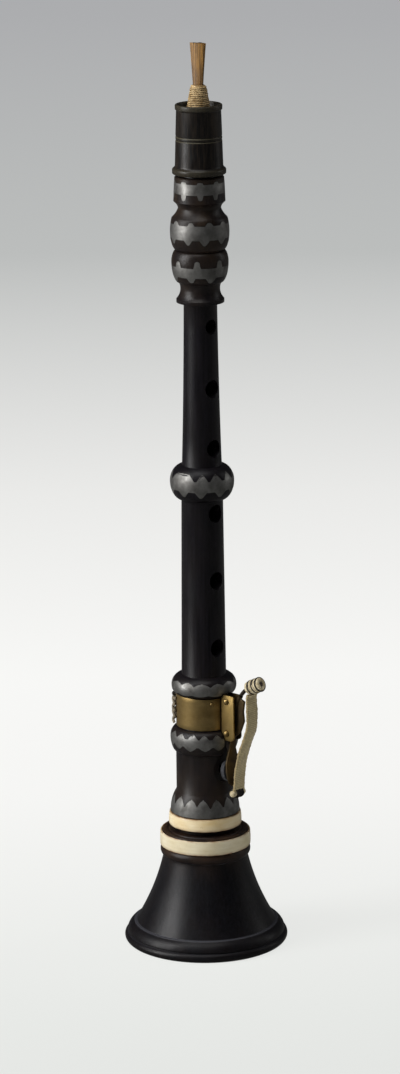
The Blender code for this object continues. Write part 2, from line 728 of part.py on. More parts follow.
def inlays():
    """The seven inlays, from the foot up. Heights count from the bead or step that each sits on."""
    smooth = Teeth(30, 0, 0.5, 0.45)
    return [
        Inlay(
            "pewter_foot_band",
            FOOT_Z,
            FOOT_Z,
            FOOT_Z + 0.0056,
            FOOT_Z + 0.0088,
            smooth,
            Teeth(15, -43.8, 0.46, 0.08),
            open_below=True,
        ),
        Inlay(
            "pewter_lower_bead_band",
            LOWER_BEAD_Z - 0.0042,
            LOWER_BEAD_Z - 0.0022,
            LOWER_BEAD_Z + 0.0018,
            LOWER_BEAD_Z + 0.0038,
            Teeth(14, -40.2, 0.38, 0.12),
            Teeth(16, -40.3, 0.42, 0.14),
        ),
        Inlay(
            "pewter_upper_bead_band",
            UPPER_BEAD_Z - 0.0026,
            UPPER_BEAD_Z - 0.0016,
            UPPER_BEAD_Z + 0.0024,
            UPPER_BEAD_Z + 0.0038,
            Teeth(12, -48.3, 0.42, 0.16),
            Teeth(13, -45.3, 0.42, 0.18),
        ),
        Inlay(
            "pewter_middle_band",
            MIDDLE_BEAD_Z - 0.0056,
            MIDDLE_BEAD_Z - 0.0027,
            MIDDLE_BEAD_Z + 0.0023,
            MIDDLE_BEAD_Z + 0.0057,
            Teeth(10, -43.0, 0.40, 0.10),
            Teeth(13, -40.0, 0.44, 0.05),
        ),
        Inlay(
            "pewter_lower_bulb_band",
            LOWER_BULB_Z - 0.0080,
            LOWER_BULB_Z - 0.0057,
            LOWER_BULB_Z - 0.0011,
            LOWER_BULB_Z + 0.0020,
            Teeth(8, -61.0, 0.24, 0.08),
            Teeth(8, -44.6, 0.17, 0.09),
        ),
        Inlay(
            "pewter_upper_bulb_band",
            UPPER_BULB_Z - 0.0045,
            UPPER_BULB_Z - 0.0021,
            UPPER_BULB_Z + 0.0043,
            UPPER_BULB_Z + 0.0059,
            Teeth(10, -29.7, 0.28, 0.07),
            Teeth(10, -23.6, 0.24, 0.10),
        ),
        Inlay(
            "pewter_barrel_band",
            BARREL_Z + 0.0013,
            BARREL_Z + 0.0040,
            BARREL_Z + 0.0087,
            BARREL_Z + 0.0099,
            Teeth(9, -41.0, 0.19, 0.10),
            Teeth(9, -39.0, 0.21, 0.12),
        ),
    ]


def hole_cutter(name, azimuth, z, radius, start=0.0, end=LOWER_BEAD_RADIUS + OVERSHOOT):
    """A cylinder that stands out from the axis, for a hole in the body's wall."""
    up = Vector((0, 0, z))
    out = outward(azimuth)
    return as_cutter(rod(name, out * start + up, out * end + up, radius, segments=24))


def channel_cutter(name, floor_radius):
    """The box that leaves room for the saddle and the lever in both beads beside the strap."""
    low = KEY_SEAT_Z + KEY_SEAT_RADIUS - KEY_SEAT_DEPTH / 2 - PIVOT_Z
    high = CHEEK_TOP + GAP - PIVOT_Z
    inner, outer = floor_radius - PIVOT_RADIUS, LOWER_BEAD_RADIUS + OVERSHOOT - PIVOT_RADIUS
    outline = [(inner, low), (outer, low), (outer, high), (inner, high)]
    return as_cutter(extruded(name, outline, CHANNEL_HALF_WIDTH, None))


def make_body(outline, rings):
    """The turned body with its bore, its holes, the key's seat and the grooves for the inlays."""
    outer = outline
    for inlay in rings:
        low, high = inlay.groove()
        outer = with_groove(outer, low, high, INLAY_WALL + GAP, inlay.open_below)
    tenon_low = BODY_FOOT + FOOT_TENON_LIP
    tenon_high = BODY_SHOULDER - FOOT_TENON_LIP
    outer = with_groove(outer, tenon_low, tenon_high, LAPPING_DEPTH)
    cup_low, cup_high = BARREL_TOP + CUP_TENON_LIP, CUP_TENON_TOP - CUP_TENON_LIP
    outer = with_groove(outer, cup_low, cup_high, LAPPING_DEPTH)
    bore = [
        (REED_SOCKET_RADIUS, CUP_TENON_TOP),
        (REED_SOCKET_RADIUS, REED_SOCKET_Z),
        (BORE_TOP_RADIUS, REED_SOCKET_Z),
        (BORE_FOOT_RADIUS, BODY_FOOT),
    ]
    body = turned("body", outer + bore, "blackwood")
    heights = [UPPER_SHAFT_Z + step for step in HOLES_OVER_MIDDLE_BEAD]
    heights = sorted(heights + [MIDDLE_BEAD_FOOT - step for step in HOLES_UNDER_MIDDLE_BEAD])
    for number, z in enumerate(heights, 1):
        radius = TOP_HOLE_RADIUS if number == len(heights) else FINGER_HOLE_RADIUS
        cut(body, hole_cutter(f"finger_hole_cutter_{number}", 0.0, z, radius))
    cut(body, hole_cutter("key_seat_cutter", KEY_AZIMUTH, KEY_SEAT_Z, KEY_SEAT_RADIUS, start=KEY_SEAT_REACH))
    cut(body, hole_cutter("key_hole_cutter", KEY_AZIMUTH, KEY_SEAT_Z, KEY_HOLE_RADIUS))
    return body


def make_bell():
    """The bell: foot, rim bead, ovolo, hollow cone, bead, seat for the bone ring, ledge, socket and bore."""
    step_z = RIM_BEAD_HEIGHT + RIM_GROOVE_WIDTH + OVOLO_HEIGHT
    cone_foot = OVOLO_TOP_RADIUS - CONE_STEP
    groove_radius = RIM_BEAD_TOP_RADIUS - RIM_GROOVE_DEPTH
    outer = [(BELL_FOOT_RADIUS, 0.0)]
    outer += arc(outer[-1], (RIM_BEAD_TOP_RADIUS, RIM_BEAD_HEIGHT), RIM_BEAD_SWELL, BEAD_STEPS)
    outer += [(groove_radius, RIM_BEAD_HEIGHT), (groove_radius, RIM_BEAD_HEIGHT + RIM_GROOVE_WIDTH)]
    outer += arc(outer[-1], (OVOLO_TOP_RADIUS, step_z), OVOLO_SWELL, 3)
    outer += [(cone_foot, step_z)]
    outer += arc(outer[-1], (CONE_TOP_RADIUS, BELL_BEAD_FOOT), -CONE_HOLLOW, 6)
    outer += [(LEDGE_RADIUS, BELL_BEAD_FOOT)]
    outer += arc(outer[-1], (LEDGE_RADIUS, BELL_BEAD_TOP), BELL_BEAD_SWELL, BEAD_STEPS)
    outer += [(LEDGE_RADIUS, BELL_RING_TOP), (LEDGE_RADIUS - LEDGE_ROUNDING, BELL_HEIGHT)]
    groove_inner, groove_outer = LEDGE_GROOVE_RADIUS, LEDGE_GROOVE_RADIUS + LEDGE_GROOVE_WIDTH
    groove_floor = BELL_HEIGHT - LEDGE_GROOVE_DEPTH
    outer += [(groove_outer, BELL_HEIGHT), (groove_outer, groove_floor), (groove_inner, groove_floor)]
    outer += [(groove_inner, BELL_HEIGHT)]
    socket_floor = BELL_HEIGHT - SOCKET_DEPTH
    inner = [(SOCKET_RADIUS, BELL_HEIGHT), (SOCKET_RADIUS, socket_floor), (BELL_THROAT_RADIUS, socket_floor)]
    inner += arc(inner[-1], (BELL_FOOT_RADIUS - BELL_FOOT_WIDTH, 0.0), -BELL_BORE_HOLLOW, 7)
    return turned("bell", outer + inner, "blackwood", BELL_SEGMENTS)


def make_bone_rings():
    top = BELL_RING_TOP
    foot = top - BELL_RING_HEIGHT
    chamfer = BELL_RING_CHAMFER
    turned(
        "bell_bone_ring",
        [
            (BELL_RING_INNER, foot),
            (BELL_RING_RADIUS, foot),
            (BELL_RING_RADIUS, top - chamfer),
            (BELL_RING_RADIUS - chamfer, top),
            (BELL_RING_INNER, top),
        ],
        "bone",
        BELL_SEGMENTS,
    )
    low, high = FOOT_RING_FOOT, FOOT_RING_FOOT + FOOT_RING_HEIGHT
    turned(
        "foot_bone_ring",
        [
            (FOOT_RING_INNER, low),
            (FOOT_RING_RADIUS, low),
            (FOOT_RING_RADIUS - FOOT_RING_FLARE, high),
            (FOOT_RING_INNER, high),
        ],
        "bone",
    )


def make_lapping(name, tenon_radius, low, high):
    """A thread lapping that fills a tenon's groove and stands a little proud of it."""
    outer = tenon_radius + LAPPING_PROUD
    inner = outer - LAPPING_WALL
    low, high = low + GAP, high - GAP
    turned(name, [(inner, low), (outer, low), (outer, high), (inner, high)], "dark_thread")


def make_cup():
    """The horn cup: a socket for the body's tenon, a ledge that rests on it, and the reed's well."""
    wall_foot = CUP_FOOT + CUP_FLANGE_HEIGHT + CUP_FLANGE_CHAMFER
    wall_top = CUP_TOP - CUP_RIM_HEIGHT
    taper = (CUP_WALL_TOP_RADIUS - CUP_WALL_FOOT_RADIUS) / (wall_top - wall_foot)
    outer = [(CUP_FLANGE_RADIUS, CUP_FOOT), (CUP_FLANGE_RADIUS, CUP_FOOT + CUP_FLANGE_HEIGHT)]
    outer += [(CUP_WALL_FOOT_RADIUS, wall_foot)]
    for line in range(2):
        middle = CUP_FOOT + CUP_LINE_HEIGHT + line * CUP_LINE_SPACING
        for offset, depth in ((-1, 0), (0, CUP_LINE_DEPTH), (1, 0)):
            z = middle + offset * CUP_LINE_WIDTH / 2
            outer.append((CUP_WALL_FOOT_RADIUS + taper * (z - wall_foot) - depth, z))
    outer += [(CUP_WALL_TOP_RADIUS, wall_top), (CUP_RIM_RADIUS, wall_top), (CUP_RIM_RADIUS, CUP_TOP)]
    well_radius = CUP_RIM_RADIUS - CUP_RIM_WALL
    ledge_foot = CUP_TENON_TOP + GAP
    ledge_top = ledge_foot + CUP_LEDGE_THICKNESS
    inner = [(well_radius, CUP_TOP), (CUP_SOCKET_RADIUS, ledge_top), (CUP_LEDGE_RADIUS, ledge_top)]
    inner += [(CUP_LEDGE_RADIUS, ledge_foot), (CUP_SOCKET_RADIUS, ledge_foot), (CUP_SOCKET_RADIUS, CUP_FOOT)]
    return turned("reed_cup", outer + inner, "horn")


def make_staple():
    inner = STAPLE_RADIUS - STAPLE_WALL
    turned(
        "staple",
        [(inner, STAPLE_FOOT), (STAPLE_RADIUS, STAPLE_FOOT), (STAPLE_RADIUS, STAPLE_TOP), (inner, STAPLE_TOP)],
        "brass",
        SMALL_SEGMENTS,
    )
    low = STAPLE_FOOT + STAPLE_LAPPING_INSET
    high = low + STAPLE_LAPPING_LENGTH
    inner = STAPLE_RADIUS + GAP
    turned(
        "staple_lapping",
        [(inner, low), (STAPLE_LAPPING_RADIUS, low), (STAPLE_LAPPING_RADIUS, high), (inner, high)],
        "dark_thread",
        SMALL_SEGMENTS,
    )


def make_blade(name, facing):
    """One cane blade: a curved strip that widens to the tip. facing is 1 or -1."""
    columns, rows = 6, 5
    width_way = sideways(REED_AZIMUTH)
    face_way = outward(REED_AZIMUTH) * facing
    sections = []
    for row in range(rows + 1):
        share = row / rows
        half_width = (BLADE_FOOT_WIDTH + (BLADE_TIP_WIDTH - BLADE_FOOT_WIDTH) * share) / 2
        thickness = BLADE_FOOT_THICKNESS + (BLADE_TIP_THICKNESS - BLADE_FOOT_THICKNESS) * share
        middle = Vector((0, 0, REED_FOOT + BLADE_LENGTH * share))
        inner, outer = [], []
        for column in range(columns + 1):
            across = 2 * column / columns - 1
            crown = BLADE_CROWN * (1 - across**2)
            near = (GAP + (REED_OPENING - GAP) * share) / 2 + crown * share
            spot = middle + width_way * across * half_width
            inner.append(spot + face_way * near)
            outer.append(spot + face_way * (near + thickness * sqrt(1 - 0.5 * across**2)))
        sections.append(inner + outer[::-1])
    return swept(name, sections, "cane")


def binding_radius(height):
    """The binding's core radius at a height over its foot: a pear, widest at its belly."""
    if height < BINDING_BELLY_HEIGHT:
        share = height / BINDING_BELLY_HEIGHT
        return BINDING_FOOT_RADIUS + (BINDING_BELLY_RADIUS - BINDING_FOOT_RADIUS) * sin(pi / 2 * share)
    share = (height - BINDING_BELLY_HEIGHT) / (BINDING_HEIGHT - BINDING_BELLY_HEIGHT)
    return BINDING_BELLY_RADIUS + (BINDING_TOP_RADIUS - BINDING_BELLY_RADIUS) * share**1.5


def make_binding():
    """The binding: a plain core, and the outer layer of thread as one unbroken winding."""
    steps = 8
    hole = STAPLE_RADIUS + GAP
    heights = [BINDING_HEIGHT * i / steps for i in range(steps + 1)]
    outline = [(binding_radius(h), BINDING_FOOT + h) for h in heights]
    outline += [(hole, BINDING_TOP), (hole, BINDING_FOOT)]
    turned("reed_binding_core", outline, "thread", 24)
    first = BINDING_HEIGHT - GAP - THREAD_RADIUS - THREAD_TURNS * THREAD_PITCH
    points = coil(
        (0, 0, BINDING_FOOT + first),
        (0, 0, 1),
        (1, 0, 0),
        lambda along: binding_radius(first + along) + GAP + THREAD_RADIUS,
        THREAD_PITCH,
        THREAD_TURNS,
        THREAD_LOOP_POINTS,
        2 * THREAD_RADIUS,
    )
    print_least_gap("reed_binding_thread", points, THREAD_RADIUS, THREAD_LOOP_POINTS)
    return tube("reed_binding_thread", points, THREAD_RADIUS, "thread")


def make_strap():
    """The C-shaped brass strap, open at the back left where the lacing closes it."""
    start = LACE_AZIMUTH + STRAP_OPENING / 2
    sweep = 2 * pi - STRAP_OPENING
    steps = ceil(sweep / STRAP_STEP)
    section = [
        (STRAP_INNER, STRAP_FOOT),
        (STRAP_RADIUS, STRAP_FOOT),
        (STRAP_RADIUS, STRAP_TOP),
        (STRAP_INNER, STRAP_TOP),
    ]
    sections = []
    for i in range(steps + 1):
        out = outward(start + sweep * i / steps)
        sections.append([out * r + Vector((0, 0, z)) for r, z in section])
    return swept("key_strap", sections, "brass")


def make_strap_pin():
    """A small brass pin through the strap into the body, and the holes that it needs."""
    out = outward(STRAP_PIN_AZIMUTH)
    up = Vector((0, 0, STRAP_TOP - STRAP_PIN_DROP))
    head_foot = STRAP_RADIUS + GAP
    head = rod("strap_pin", out * head_foot + up, out * (head_foot + PIN_HEAD_HEIGHT) + up, PIN_HEAD_RADIUS, "brass")
    shank_start = head_foot - PIN_SHANK_LENGTH
    join(head, rod("strap_pin_shank", out * shank_start + up, out * (head_foot + GAP / 2) + up, PIN_SHANK_RADIUS))
    hole = rod("strap_pin_hole", out * (shank_start - GAP) + up, out * (head_foot + OVERSHOOT) + up, PIN_SHANK_RADIUS + GAP)
    return head, as_cutter(hole)


def make_lacing():
    """The cord laced across the strap's opening, and the knot at its upper end."""
    reach = STRAP_RADIUS + GAP + LACE_RADIUS
    low = STRAP_FOOT + 2 * LACE_RADIUS
    high = STRAP_TOP - 4 * LACE_RADIUS
    count = LACE_CROSSINGS * LACE_POINTS_PER_CROSSING
    points = []
    for i in range(count + 1):
        share = i / count
        azimuth = LACE_AZIMUTH + LACE_HALF_SPAN * cos(pi * LACE_CROSSINGS * share)
        points.append(outward(azimuth) * reach + Vector((0, 0, low + (high - low) * share)))
    print_least_gap("strap_lacing", points, LACE_RADIUS, LACE_POINTS_PER_CROSSING * 2)
    tube("strap_lacing", points, LACE_RADIUS, "thread")
    bm = bmesh.new()
    bmesh.ops.create_uvsphere(bm, u_segments=12, v_segments=8, radius=KNOT_RADIUS)
    centre = outward(LACE_AZIMUTH) * (STRAP_RADIUS + GAP + KNOT_RADIUS)
    centre.z = STRAP_TOP - KNOT_RADIUS - GAP
    bmesh.ops.translate(bm, vec=centre, verts=bm.verts)
    return from_bmesh("lacing_knot", bm, "dark_thread")


def cheek_outline():
    """One cheek in the key's plane, with its outer corners rounded."""
    inner, outer = WEB_INNER - PIVOT_RADIUS, WEB_INNER + CHEEK_REACH - PIVOT_RADIUS
    low, high = CHEEK_FOOT - PIVOT_Z, CHEEK_TOP - PIVOT_Z
    points = [(inner, low)]
    for corner in range(2):
        rounding = CHEEK_ROUNDING if corner == 0 else CHEEK_ROUNDING / 2
        centre_up = low + rounding if corner == 0 else high - rounding
        for step in range(CHEEK_CORNER_STEPS + 1):
            angle = -pi / 2 + corner * pi / 2 + pi / 2 * step / CHEEK_CORNER_STEPS
            points.append((outer - rounding + rounding * cos(angle), centre_up + rounding * sin(angle)))
    return points + [(inner, high)]


def make_saddle():
    """The brass channel that carries the hinge pin: two cheeks joined by a web on the strap."""
    cheeks = []
    for side, name in ((-1, "key_saddle"), (1, "right_cheek")):
        near, far = side * CHEEK_INNER, side * CHEEK_OUTER
        sections = [[key_place(out, up, beside) for out, up in cheek_outline()] for beside in (near, far)]
        cheeks.append(swept(name, sections, "brass"))
    saddle, right = cheeks
    inner, outer = WEB_INNER - PIVOT_RADIUS, WEB_OUTER - PIVOT_RADIUS
    high = STRAP_TOP - PIVOT_Z
    low = high - WEB_HEIGHT
    web_half = (CHEEK_INNER + CHEEK_OUTER) / 2
    web = extruded("saddle_web", [(inner + GAP / 4, low), (outer, low), (outer, high), (inner + GAP / 4, high)], web_half, None)
    join(saddle, web, right)
    for name, up in (("hinge_pin_hole", 0.0), ("saddle_rivet_hole", RIVET_Z - PIVOT_Z)):
        far = CHEEK_OUTER + OVERSHOOT
        cut(saddle, as_cutter(rod(name, key_place(0, up, -far), key_place(0, up, far), RIVET_RADIUS + RIVET_CLEARANCE)))
    return saddle


def make_rivet(name, up):
    """A pin across both cheeks with a domed head on each side."""
    outline = []
    for side in (-1, 1):
        dome = []
        for step in range(4):
            angle = pi / 2 * step / 3
            dome.append((RIVET_HEAD_RADIUS * sin(angle), side * (RIVET_HALF_LENGTH + RIVET_HEAD_HEIGHT * cos(angle))))
        flank = [(RIVET_RADIUS, side * RIVET_HALF_LENGTH)]
        outline += dome + flank if side < 0 else flank + dome[::-1]
    pin = turned(name, outline, "brass", SMALL_SEGMENTS)
    turn = sideways(KEY_AZIMUTH).to_track_quat("Z", "Y").to_matrix().to_4x4()
    pin.data.transform(Matrix.Translation(key_place(0, up)) @ turn)
    return pin


def flap_outline():
    """The flap's squarish oval as (beside, up) points round the pad's middle."""
    points = []
    for i in range(FLAP_OUTLINE_POINTS):
        angle = 2 * pi * i / FLAP_OUTLINE_POINTS
        c, s = cos(angle), sin(angle)
        stretch = (abs(c) ** FLAP_SQUARENESS + abs(s) ** FLAP_SQUARENESS) ** (-1 / FLAP_SQUARENESS)
        points.append((FLAP_HALF_WIDTH * c * stretch, FLAP_HALF_HEIGHT * s * stretch))
    return points


def closed_reaches():
    """Distances out from the hinge of the closed key's pad face, pad back, flap face and flap back."""
    pad_face = KEY_SEAT_REACH + PAD_SEAT_CLEARANCE - PIVOT_RADIUS
    pad_back = pad_face + PAD_THICKNESS
    flap_face = pad_back + GAP
    return pad_face, pad_back, flap_face, flap_face + FLAP_THICKNESS


def open_section(outline, out):
    """A section of the flap or the pad at one distance out, swung from its closed place to its open one."""
    middle = KEY_SEAT_Z - PIVOT_Z
    return [key_place(*swung_open(out, middle + up), beside) for beside, up in outline]


def make_lever(hinge):
    """The lever: hub on the pin, upper arm to the touch rod, lower arm, and the flap."""
    _, _, flap_face, flap_back = closed_reaches()
    lever = rod("key_lever", key_place(0, 0, -HUB_HALF_WIDTH), key_place(0, 0, HUB_HALF_WIDTH), HUB_RADIUS, "dark_brass", 20)
    route = smooth_route([(out, up, 0) for out, up in ARM_ROUTE], ROUTE_STEP)
    radii = []
    for i in range(len(route)):
        share = i / (len(route) - 1)
        radii.append(UPPER_ARM_FOOT_RADIUS + (UPPER_ARM_TOP_RADIUS - UPPER_ARM_FOOT_RADIUS) * share)
    upper = solid_tube("upper_arm", [key_place(p.x, p.y) for p in route], radii)
    plate = swept("flap_plate", [open_section(flap_outline(), out) for out in (flap_face, flap_back)], None)
    foot_up = KEY_SEAT_Z - PIVOT_Z + FLAP_HALF_HEIGHT / 2
    foot = swung_open(flap_back, foot_up)
    lower = solid_tube("lower_arm", [key_place(0, 0), key_place(*foot)], [LOWER_ARM_RADIUS, LOWER_ARM_RADIUS * 0.7])
    join(lever, upper, lower, plate)
    far = HUB_HALF_WIDTH + OVERSHOOT
    cut(lever, as_cutter(rod("lever_pin_hole", key_place(0, 0, -far), key_place(0, 0, far), RIVET_RADIUS + RIVET_CLEARANCE)))
    pad = [(PAD_RADIUS * cos(2 * pi * i / 24), PAD_RADIUS * sin(2 * pi * i / 24)) for i in range(24)]
    pad_face, pad_back, _, _ = closed_reaches()
    key_pad = swept("key_pad", [open_section(pad, out) for out in (pad_face, pad_back)], "leather")
    return [lever, key_pad]


def solid_tube(name, points, radii):
    """A tapered mesh tube through points, as a helper for a union."""
    sections = []
    for i, point in enumerate(points):
        ahead = points[min(i + 1, len(points) - 1)] - points[max(i - 1, 0)]
        turn = ahead.to_track_quat("Z", "Y")
        ring = []
        for corner in range(12):
            angle = 2 * pi * corner / 12
            ring.append(point + turn @ Vector((radii[i] * cos(angle), radii[i] * sin(angle), 0)))
        sections.append(ring)
    return swept(name, sections, None)


def rod_axis():
    """Where the touch rod's straight end starts, which way it runs, and its end."""
    (out0, up0), (out1, up1) = ROD_ROUTE[-2:]
    start = key_place(out1, up1)
    way = (start - key_place(out0, up0)).normalized()
    return start, way, start + way * ROD_END_LENGTH


def make_touch():
    """The dark touch rod, and the tape wound round its end."""
    start, way, end = rod_axis()
    route = smooth_route([(out, up, 0) for out, up in ROD_ROUTE], ROUTE_STEP)
    points = [key_place(p.x, p.y) for p in route] + [end]
    touch = tube("touch_rod", points, ROD_RADIUS, "steel", resolution=2)
    radius = ROD_RADIUS + GAP + WRAP_RADIUS
    first = start + way * (ROD_END_LENGTH - WRAP_TURNS * WRAP_PITCH - WRAP_RADIUS)
    wound = coil(
        first,
        way,
        sideways(KEY_AZIMUTH),
        lambda along: radius,
        WRAP_PITCH,
        WRAP_TURNS,
        WRAP_LOOP_POINTS,
        2 * WRAP_RADIUS,
    )
    print_least_gap("touch_wrap", wound, WRAP_RADIUS, WRAP_LOOP_POINTS)
    return [touch, tube("touch_wrap", wound, WRAP_RADIUS, "tape")]


def make_tape():
    """The flat tape from the wrap to the flap's foot, its rolled end, and the thread round that."""
    route = smooth_route([(out, up, 0) for out, up in TAPE_ROUTE], TAPE_SPACING)
    half, thick, corner = TAPE_WIDTH / 2, TAPE_THICKNESS / 2, TAPE_CORNER
    profile = [
        (-half, -thick + corner),
        (-half + corner, -thick),
        (half - corner, -thick),
        (half, -thick + corner),
        (half, thick - corner),
        (half - corner, thick),
        (-half + corner, thick),
        (-half, thick - corner),
    ]
    sections = []
    for i, point in enumerate(route):
        ahead = route[min(i + 1, len(route) - 1)] - route[max(i - 1, 0)]
        flat_way = Vector((-ahead.y, ahead.x, 0)).normalized()
        section = []
        for beside, off in profile:
            spot = point - flat_way * off
            section.append(key_place(spot.x, spot.y, beside))
        sections.append(section)
    tape = swept("pull_tape", sections, "tape")
    out, up = TAPE_ROUTE[-1]
    up -= ROLL_DROP
    roll = rod(
        "tape_end_roll",
        key_place(out, up, -ROLL_HALF_LENGTH),
        key_place(out, up, ROLL_HALF_LENGTH),
        ROLL_RADIUS,
        "tape",
    )
    radius = ROLL_RADIUS + GAP + TIE_RADIUS
    wound = coil(
        key_place(out, up, -TIE_TURNS * TIE_PITCH / 2),
        sideways(KEY_AZIMUTH),
        outward(KEY_AZIMUTH),
        lambda along: radius,
        TIE_PITCH,
        TIE_TURNS,
        TIE_LOOP_POINTS,
        2 * TIE_RADIUS,
    )
    print_least_gap("tape_tie_thread", wound, TIE_RADIUS, TIE_LOOP_POINTS)
    return [tape, roll, tube("tape_tie_thread", wound, TIE_RADIUS, "dark_thread")]


def make_spring():
    """The leaf spring under the lower arm, its free end on the channel's floor."""
    fixed_up = -SPRING_FOOT_BELOW_PIVOT
    arm = swung_open(closed_reaches()[3], KEY_SEAT_Z - PIVOT_Z + FLAP_HALF_HEIGHT / 2)
    share = fixed_up / arm[1]
    fixed_out = arm[0] * share - LOWER_ARM_RADIUS - GAP - SPRING_WALL / 2
    free_out = CHANNEL_FLOOR_RADIUS + GAP + SPRING_WALL / 2 - PIVOT_RADIUS
    free_up = fixed_up + SPRING_LENGTH
    middle = ((fixed_out + 2 * free_out) / 3, (fixed_up + free_up) / 2)
    route = smooth_route([(fixed_out, fixed_up, 0), (*middle, 0), (free_out, free_up, 0)], ROUTE_STEP)
    sections = []
    for i, point in enumerate(route):
        ahead = route[min(i + 1, len(route) - 1)] - route[max(i - 1, 0)]
        normal = Vector((-ahead.y, ahead.x, 0)).normalized() * SPRING_WALL / 2
        near, far = point - normal, point + normal
        half = SPRING_WIDTH / 2
        sections.append([key_place(p.x, p.y, b) for p, b in ((near, -half), (near, half), (far, half), (far, -half))])
    return swept("leaf_spring", sections, "steel")


def main():
    clear_scene()
    outline = body_outline()
    rings = inlays()
    channel = channel_cutter("key_channel_cutter", CHANNEL_FLOOR_RADIUS)
    band_channel = channel_cutter("band_channel_cutter", UPPER_SHAFT_FOOT_RADIUS)
    body = make_body(outline, rings)
    cut(body, channel)
    for inlay in rings:
        band = make_inlay(inlay, outline)
        if inlay.name in ("pewter_lower_bead_band", "pewter_upper_bead_band"):
            cut(band, band_channel)
    make_bell()
    make_bone_rings()
    make_lapping("foot_tenon_lapping", FOOT_TENON_RADIUS, BODY_FOOT + FOOT_TENON_LIP, BODY_SHOULDER - FOOT_TENON_LIP)
    make_lapping("cup_tenon_lapping", CUP_TENON_RADIUS, BARREL_TOP + CUP_TENON_LIP, CUP_TENON_TOP - CUP_TENON_LIP)
    make_cup()
    make_staple()
    make_blade("reed_blade_front", 1)
    make_blade("reed_blade_back", -1)
    make_binding()
    strap = make_strap()
    pin_head, pin_hole = make_strap_pin()
    cut(strap, pin_hole)
    cut(body, pin_hole)
    make_lacing()
    make_saddle()
    make_rivet("saddle_rivet", RIVET_Z - PIVOT_Z)
    make_rivet("hinge_pin", 0.0)
    hinge = bpy.data.objects.new("key_hinge", None)
    bpy.context.scene.collection.objects.link(hinge)
    hinge.location = key_place(0, 0)
    bpy.context.view_layer.update()
    for piece in make_lever(hinge) + make_touch() + make_tape():
        piece.parent = hinge
        piece.matrix_parent_inverse = hinge.matrix_world.inverted()
    make_spring()


main()
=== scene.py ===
"""Dresses a bombarde: a black wood shawm with pewter inlays, bone rings, a brass key and a cane reed.

Sizes are in millimetres until they reach Blender. Azimuth 0 is -Y, the side of the finger holes, and
azimuths grow towards +X, as in the solid model.
"""

import logging
import random
from dataclasses import dataclass
from enum import Enum
from math import asin, cos, hypot, pi, radians, sin, sqrt
from typing import Callable, NamedTuple, Optional, Sequence, Union

import bpy
from mathutils import Matrix, Vector


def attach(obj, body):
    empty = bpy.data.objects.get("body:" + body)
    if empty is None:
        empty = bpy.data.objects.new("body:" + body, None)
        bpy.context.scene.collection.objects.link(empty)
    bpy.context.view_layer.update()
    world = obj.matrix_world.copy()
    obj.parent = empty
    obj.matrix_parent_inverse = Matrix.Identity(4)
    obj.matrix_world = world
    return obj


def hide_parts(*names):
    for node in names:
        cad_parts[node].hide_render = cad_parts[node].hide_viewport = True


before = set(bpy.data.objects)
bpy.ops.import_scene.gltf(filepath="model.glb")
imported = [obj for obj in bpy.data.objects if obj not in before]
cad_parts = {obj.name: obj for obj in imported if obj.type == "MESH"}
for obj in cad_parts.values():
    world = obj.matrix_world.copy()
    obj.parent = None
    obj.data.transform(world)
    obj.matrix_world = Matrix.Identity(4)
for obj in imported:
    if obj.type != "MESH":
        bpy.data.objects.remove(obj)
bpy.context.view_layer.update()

Piece = bpy.types.Object
Socket = bpy.types.NodeSocket
Point = tuple[float, float]
Place = Callable[[float, float], Vector]

MM = 0.001
MERGE = 1e-6
AXIS = Vector((0, 0, 1))
KEY_AZIMUTH = 6.0
FINE_EDGE = 0.10
log = logging.getLogger("bombarde")


class Section(Enum):
    """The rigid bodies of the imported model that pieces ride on."""

    BELL = "bell_section"
    BODY = "body_section"
    KEY = "key"
    CUP = "cup"
    REED = "reed"


def outward(azimuth: float) -> Vector:
    """The direction straight out from the axis at an azimuth in degrees."""
    return Vector((sin(radians(azimuth)), -cos(radians(azimuth)), 0))


def sideways(azimuth: float) -> Vector:
    """The direction of growing azimuth, square to outward."""
    return Vector((cos(radians(azimuth)), sin(radians(azimuth)), 0))


def around(azimuth: float, radius: float, z: float, beside: float = 0.0) -> Vector:
    """A point in metres, from an azimuth in degrees and a radius, height and sideways step in millimetres."""
    return (outward(azimuth) * radius + sideways(azimuth) * beside + AXIS * z) * MM


def apart(azimuth: float, other: float) -> float:
    """How many degrees lie between two azimuths, the shorter way round."""
    return abs((azimuth - other + 180) % 360 - 180)


def linear(code: str) -> tuple[float, float, float, float]:
    """Turns an sRGB hex colour, "#rrggbb", to linear red, green, blue and alpha."""
    parts = [int(code[i : i + 2], 16) / 255 for i in (1, 3, 5)]
    red, green, blue = (c / 12.92 if c <= 0.04045 else ((c + 0.055) / 1.055) ** 2.4 for c in parts)
    return red, green, blue, 1.0


# Outlines of turned pieces


